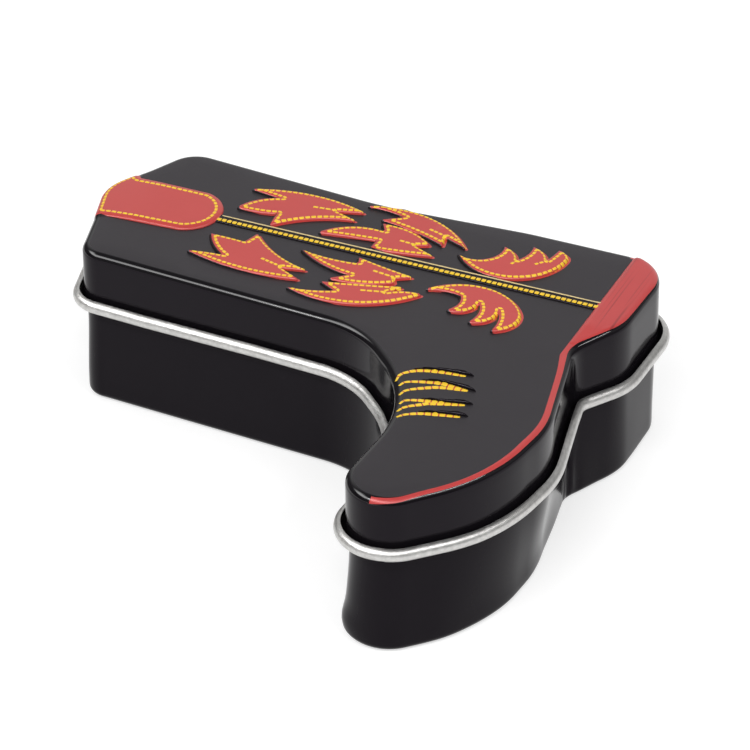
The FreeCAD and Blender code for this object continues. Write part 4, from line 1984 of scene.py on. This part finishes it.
def build_finishes() -> Finishes:
    """Makes the material of every finish.

    Returns:
        The materials by finish.
    """
    effects = EffectLibrary()
    kinds = {
        Coat.SATIN_BLACK: Lacquer(
            "satin_black_lacquer", (0.011, 0.010, 0.011, 1.0), (0.014, 0.013, 0.014, 1.0),
            0.34, 0.03, 0.05, 1400.0, ior=1.45, tint=VIOLET_SHEEN),
        Coat.GLOSS_BLACK: Lacquer(
            "gloss_black_lacquer", (0.0065, 0.0055, 0.0070, 1.0), (0.0080, 0.0068, 0.0085, 1.0),
            0.10, 0.02, 0.04, 500.0, ior=1.22, tint=VIOLET_SHEEN, streaks=True),
        # A darker, less reflective copy of the lid's gloss black lacquer: painted shade on the base's wall
        # and underside.
        Coat.SHADED_BASE_BLACK: Lacquer(
            "shaded_base_black_lacquer", (0.0055, 0.0046, 0.0060, 1.0), (0.0070, 0.0058, 0.0075, 1.0),
            0.10, 0.02, 0.04, 500.0, ior=1.19, tint=VIOLET_SHEEN, streaks=True),
        # A copy of the gloss black lacquer with a higher IOR, put on the upper edge round so that it
        # reflects more strongly there: a painted highlight.
        Coat.HIGHLIGHT_EDGE_BLACK: Lacquer(
            "highlight_edge_black_lacquer", (0.0065, 0.0055, 0.0070, 1.0), (0.0080, 0.0068, 0.0085, 1.0),
            0.10, 0.02, 0.04, 500.0, ior=1.45),
        Coat.RED_ENAMEL: Lacquer(
            "red_enamel_print", (0.555, 0.053, 0.046, 1.0), (0.525, 0.048, 0.042, 1.0),
            0.36, 0.04, 0.06, 1400.0, ior=1.55),
        Coat.HEEL_ENAMEL: Lacquer(
            "heel_enamel_print", (0.53, 0.047, 0.045, 1.0), (0.49, 0.042, 0.041, 1.0),
            0.36, 0.04, 0.06, 1400.0, ior=1.55, grain=True),
        Coat.BARE_TIN: Tinplate(
            "bare_tinplate", (0.76, 0.75, 0.73, 1.0), (0.40, 0.395, 0.385, 1.0), 0.44, 0.10, 0.25),
        Coat.YELLOW_THREAD: Lacquer(
            "yellow_thread_print", (0.95, 0.65, 0.03, 1.0), (0.90, 0.54, 0.025, 1.0),
            0.40, 0.03, 0.05, 2400.0),
        Coat.PALE_GOLD: Lacquer(
            "pale_gold_line", (0.78, 0.62, 0.30, 1.0), (0.70, 0.54, 0.25, 1.0),
            0.38, 0.03, 0.04, 2400.0),
        Coat.PEPPERMINT: PressedSugar(
            "pressed_peppermint", (0.84, 0.85, 0.83, 1.0), (0.62, 0.72, 0.68, 1.0), 0.62),
    }
    return {coat: finish.build(effects) for coat, finish in kinds.items()}


# Studio


class Axis(Enum):
    """Axes of a direction."""

    X = "X"
    Y = "Y"
    Z = "Z"


@dataclass(frozen=True)
class Fade:
    """How the surround changes with direction: from one level to another between two places on an axis."""

    axis: Axis
    ends: Place
    levels: Place = (0.0, 1.0)


@dataclass(frozen=True)
class Softbox:
    """An area light that points at the tin."""

    name: str
    azimuth: float
    elevation: float
    distance: float
    size: Place
    power: float


@dataclass
class Studio:
    """Camera, pale floor, white surround and soft light.

    In reflections the surround is a dim ceiling, with a bright band in front.
    """

    azimuth: float = 24.49
    elevation: float = 33.46
    roll: float = -0.54
    distance: float = 671.6
    target: Triple = (5.247, 11.331, 10.0)
    lens: float = 235.9
    floor_size: float = 6000.0
    floor_drop: float = 0.02
    floor_colour: Colour = (0.62, 0.62, 0.62, 1.0)
    floor_glow: float = 0.56
    surround_light: float = 0.55
    white: Colour = (1.0, 1.0, 1.0, 1.0)
    ceiling: tuple[Fade, ...] = (
        Fade(Axis.Z, (0.55, 0.78), (0.92, 0.10)), Fade(Axis.Y, (-0.35, 0.15), (0.12, 1.0)),
        Fade(Axis.X, (-0.78, -0.55), (0.12, 1.0)), Fade(Axis.X, (0.1, 0.5), (1.0, 0.25)))
    band: tuple[Fade, ...] = (
        Fade(Axis.Z, (0.56, 0.66)), Fade(Axis.Z, (0.86, 0.78)), Fade(Axis.Y, (0.25, -0.05)),
        Fade(Axis.X, (-0.3, 0.8), (1.25, 0.25)))
    band_strength: float = 6.0
    softboxes: tuple[Softbox, ...] = (
        Softbox("strip_front", -6.0, 52.0, 620.0, (520.0, 26.0), 1.7),
        Softbox("strip_right", 80.0, 48.0, 620.0, (420.0, 26.0), 0.9))

    @staticmethod
    def back(azimuth: float, elevation: float) -> Vector:
        """Direction from the tin to a viewer at these angles in degrees."""
        a, e = math.radians(azimuth), math.radians(elevation)
        return Vector((math.sin(a) * math.cos(e), -math.cos(a) * math.cos(e), math.sin(e)))

    def add_camera(self) -> None:
        """Adds the camera at the photograph's viewing angle."""
        lens = bpy.data.cameras.new("camera")
        lens.lens = self.lens
        camera = bpy.data.objects.new("camera", lens)
        bpy.context.scene.collection.objects.link(camera)
        back = self.back(self.azimuth, self.elevation)
        camera.location = (Vector(self.target) + back * self.distance) * MM
        level = (-back).to_track_quat("-Z", "Y")
        camera.rotation_euler = (level @ Quaternion((0.0, 0.0, 1.0), math.radians(self.roll))).to_euler()
        bpy.context.scene.camera = camera

    def add_lights(self) -> None:
        """Adds the soft lights."""
        for box in self.softboxes:
            light = bpy.data.lights.new(box.name, "AREA")
            light.shape = "RECTANGLE"
            light.size, light.size_y = box.size[0] * MM, box.size[1] * MM
            light.energy = box.power
            lamp = bpy.data.objects.new(box.name, light)
            bpy.context.scene.collection.objects.link(lamp)
            back = self.back(box.azimuth, box.elevation)
            lamp.location = (Vector(self.target) + back * box.distance) * MM
            lamp.rotation_euler = (-back).to_track_quat("-Z", "Y").to_euler()

    @staticmethod
    def rays(sheet: NodeSheet) -> tuple[Socket, Socket, Socket]:
        """Finds out who looks.

        Args:
            sheet: Where the nodes go.

        Returns:
            One for the camera, one for a reflection or a view through glass, and one for any of these.
        """
        path = sheet.add("ShaderNodeLightPath").outputs
        mirror = sheet.math("MAXIMUM", path["Is Glossy Ray"], path["Is Transmission Ray"])
        return path["Is Camera Ray"], mirror, sheet.math("MAXIMUM", path["Is Camera Ray"], mirror)

    def add_floor(self) -> None:
        """Adds the floor, which glows a little so that it ends up white round the tin's shadow."""
        half = 0.5 * self.floor_size * MM
        mesh = bpy.data.meshes.new("floor")
        corners = [(-half, -half, 0), (half, -half, 0), (half, half, 0), (-half, half, 0)]
        mesh.from_pydata(corners, [], [(0, 1, 2, 3)])
        floor = bpy.data.objects.new("floor", mesh)
        floor.location.z = -self.floor_drop * MM
        bpy.context.scene.collection.objects.link(floor)
        material = bpy.data.materials.new("pale_floor")
        material.use_nodes = True
        nodes = material.node_tree.nodes
        nodes.remove(nodes["Principled BSDF"])
        sheet = NodeSheet(material.node_tree)
        matt = sheet.add("ShaderNodeBsdfDiffuse", {"Color": self.floor_colour})
        *_, seen = self.rays(sheet)
        glow = sheet.add("ShaderNodeEmission", {"Strength": sheet.math("MULTIPLY", seen, self.floor_glow)})
        both = sheet.add("ShaderNodeAddShader")
        sheet.feed(both.inputs[0], matt.outputs[0])
        sheet.feed(both.inputs[1], glow.outputs[0])
        sheet.feed(nodes["Material Output"].inputs["Surface"], both.outputs[0])
        mesh.materials.append(material)

    @staticmethod
    def faded(sheet: NodeSheet, axes: dict[str, Socket], fades: Sequence[Fade], level: Any) -> Any:
        """Lets a level fade with direction.

        Args:
            sheet: Where the nodes go.
            axes: The direction by axis.
            fades: The changes, one upon another.
            level: What they start from.

        Returns:
            The faded level.
        """
        for fade in fades:
            level = sheet.math("MULTIPLY", level, sheet.fade(axes[fade.axis.value], fade.ends, fade.levels))
        return level

    def add_surround(self) -> None:
        """Adds the white surround, with a darker ceiling in reflections."""
        world = bpy.data.worlds.new("surround")
        bpy.context.scene.world = world
        world.use_nodes = True
        sheet = NodeSheet(world.node_tree)
        camera, mirror, looks = self.rays(sheet)
        axes = sheet.axes(sheet.add("ShaderNodeTexCoord").outputs["Generated"])
        ceiling = self.faded(sheet, axes, self.ceiling, 1.0)
        band = self.faded(sheet, axes, self.band, self.band_strength)
        reflected = sheet.math("MULTIPLY", mirror, sheet.math("ADD", ceiling, band))
        seen = sheet.math("MAXIMUM", camera, reflected)
        lit = sheet.math("MULTIPLY", sheet.math("SUBTRACT", 1.0, looks), self.surround_light)
        back = world.node_tree.nodes["Background"]
        sheet.feed(back.inputs["Strength"], sheet.math("ADD", seen, lit))
        sheet.feed(back.inputs["Color"], self.white)

    def build(self) -> None:
        """Sets up the whole studio."""
        bpy.context.scene.view_settings.view_transform = "Standard"
        self.add_camera()
        self.add_lights()
        self.add_floor()
        self.add_surround()


def main() -> None:
    """Builds the tin round its frame, and the studio round the tin."""
    logging.basicConfig(level=logging.INFO, format="%(name)s: %(message)s")
    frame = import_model()
    finishes = build_finishes()
    outline = BootPlan().outline()
    lid = LidPressing(outline)
    base = BasePressing(outline)
    pieces = [lid.build(finishes), *Stitching(lid).build(finishes), base.build(finishes)]
    pieces.append(PeppermintFill(base).build(frame["nodes"]["peppermints"], finishes))
    for piece in pieces:
        LOG.info("%s: %d points, %d faces", piece.name, len(piece.data.vertices), len(piece.data.polygons))
    Studio().build()


if __name__ == "__main__":
    main()
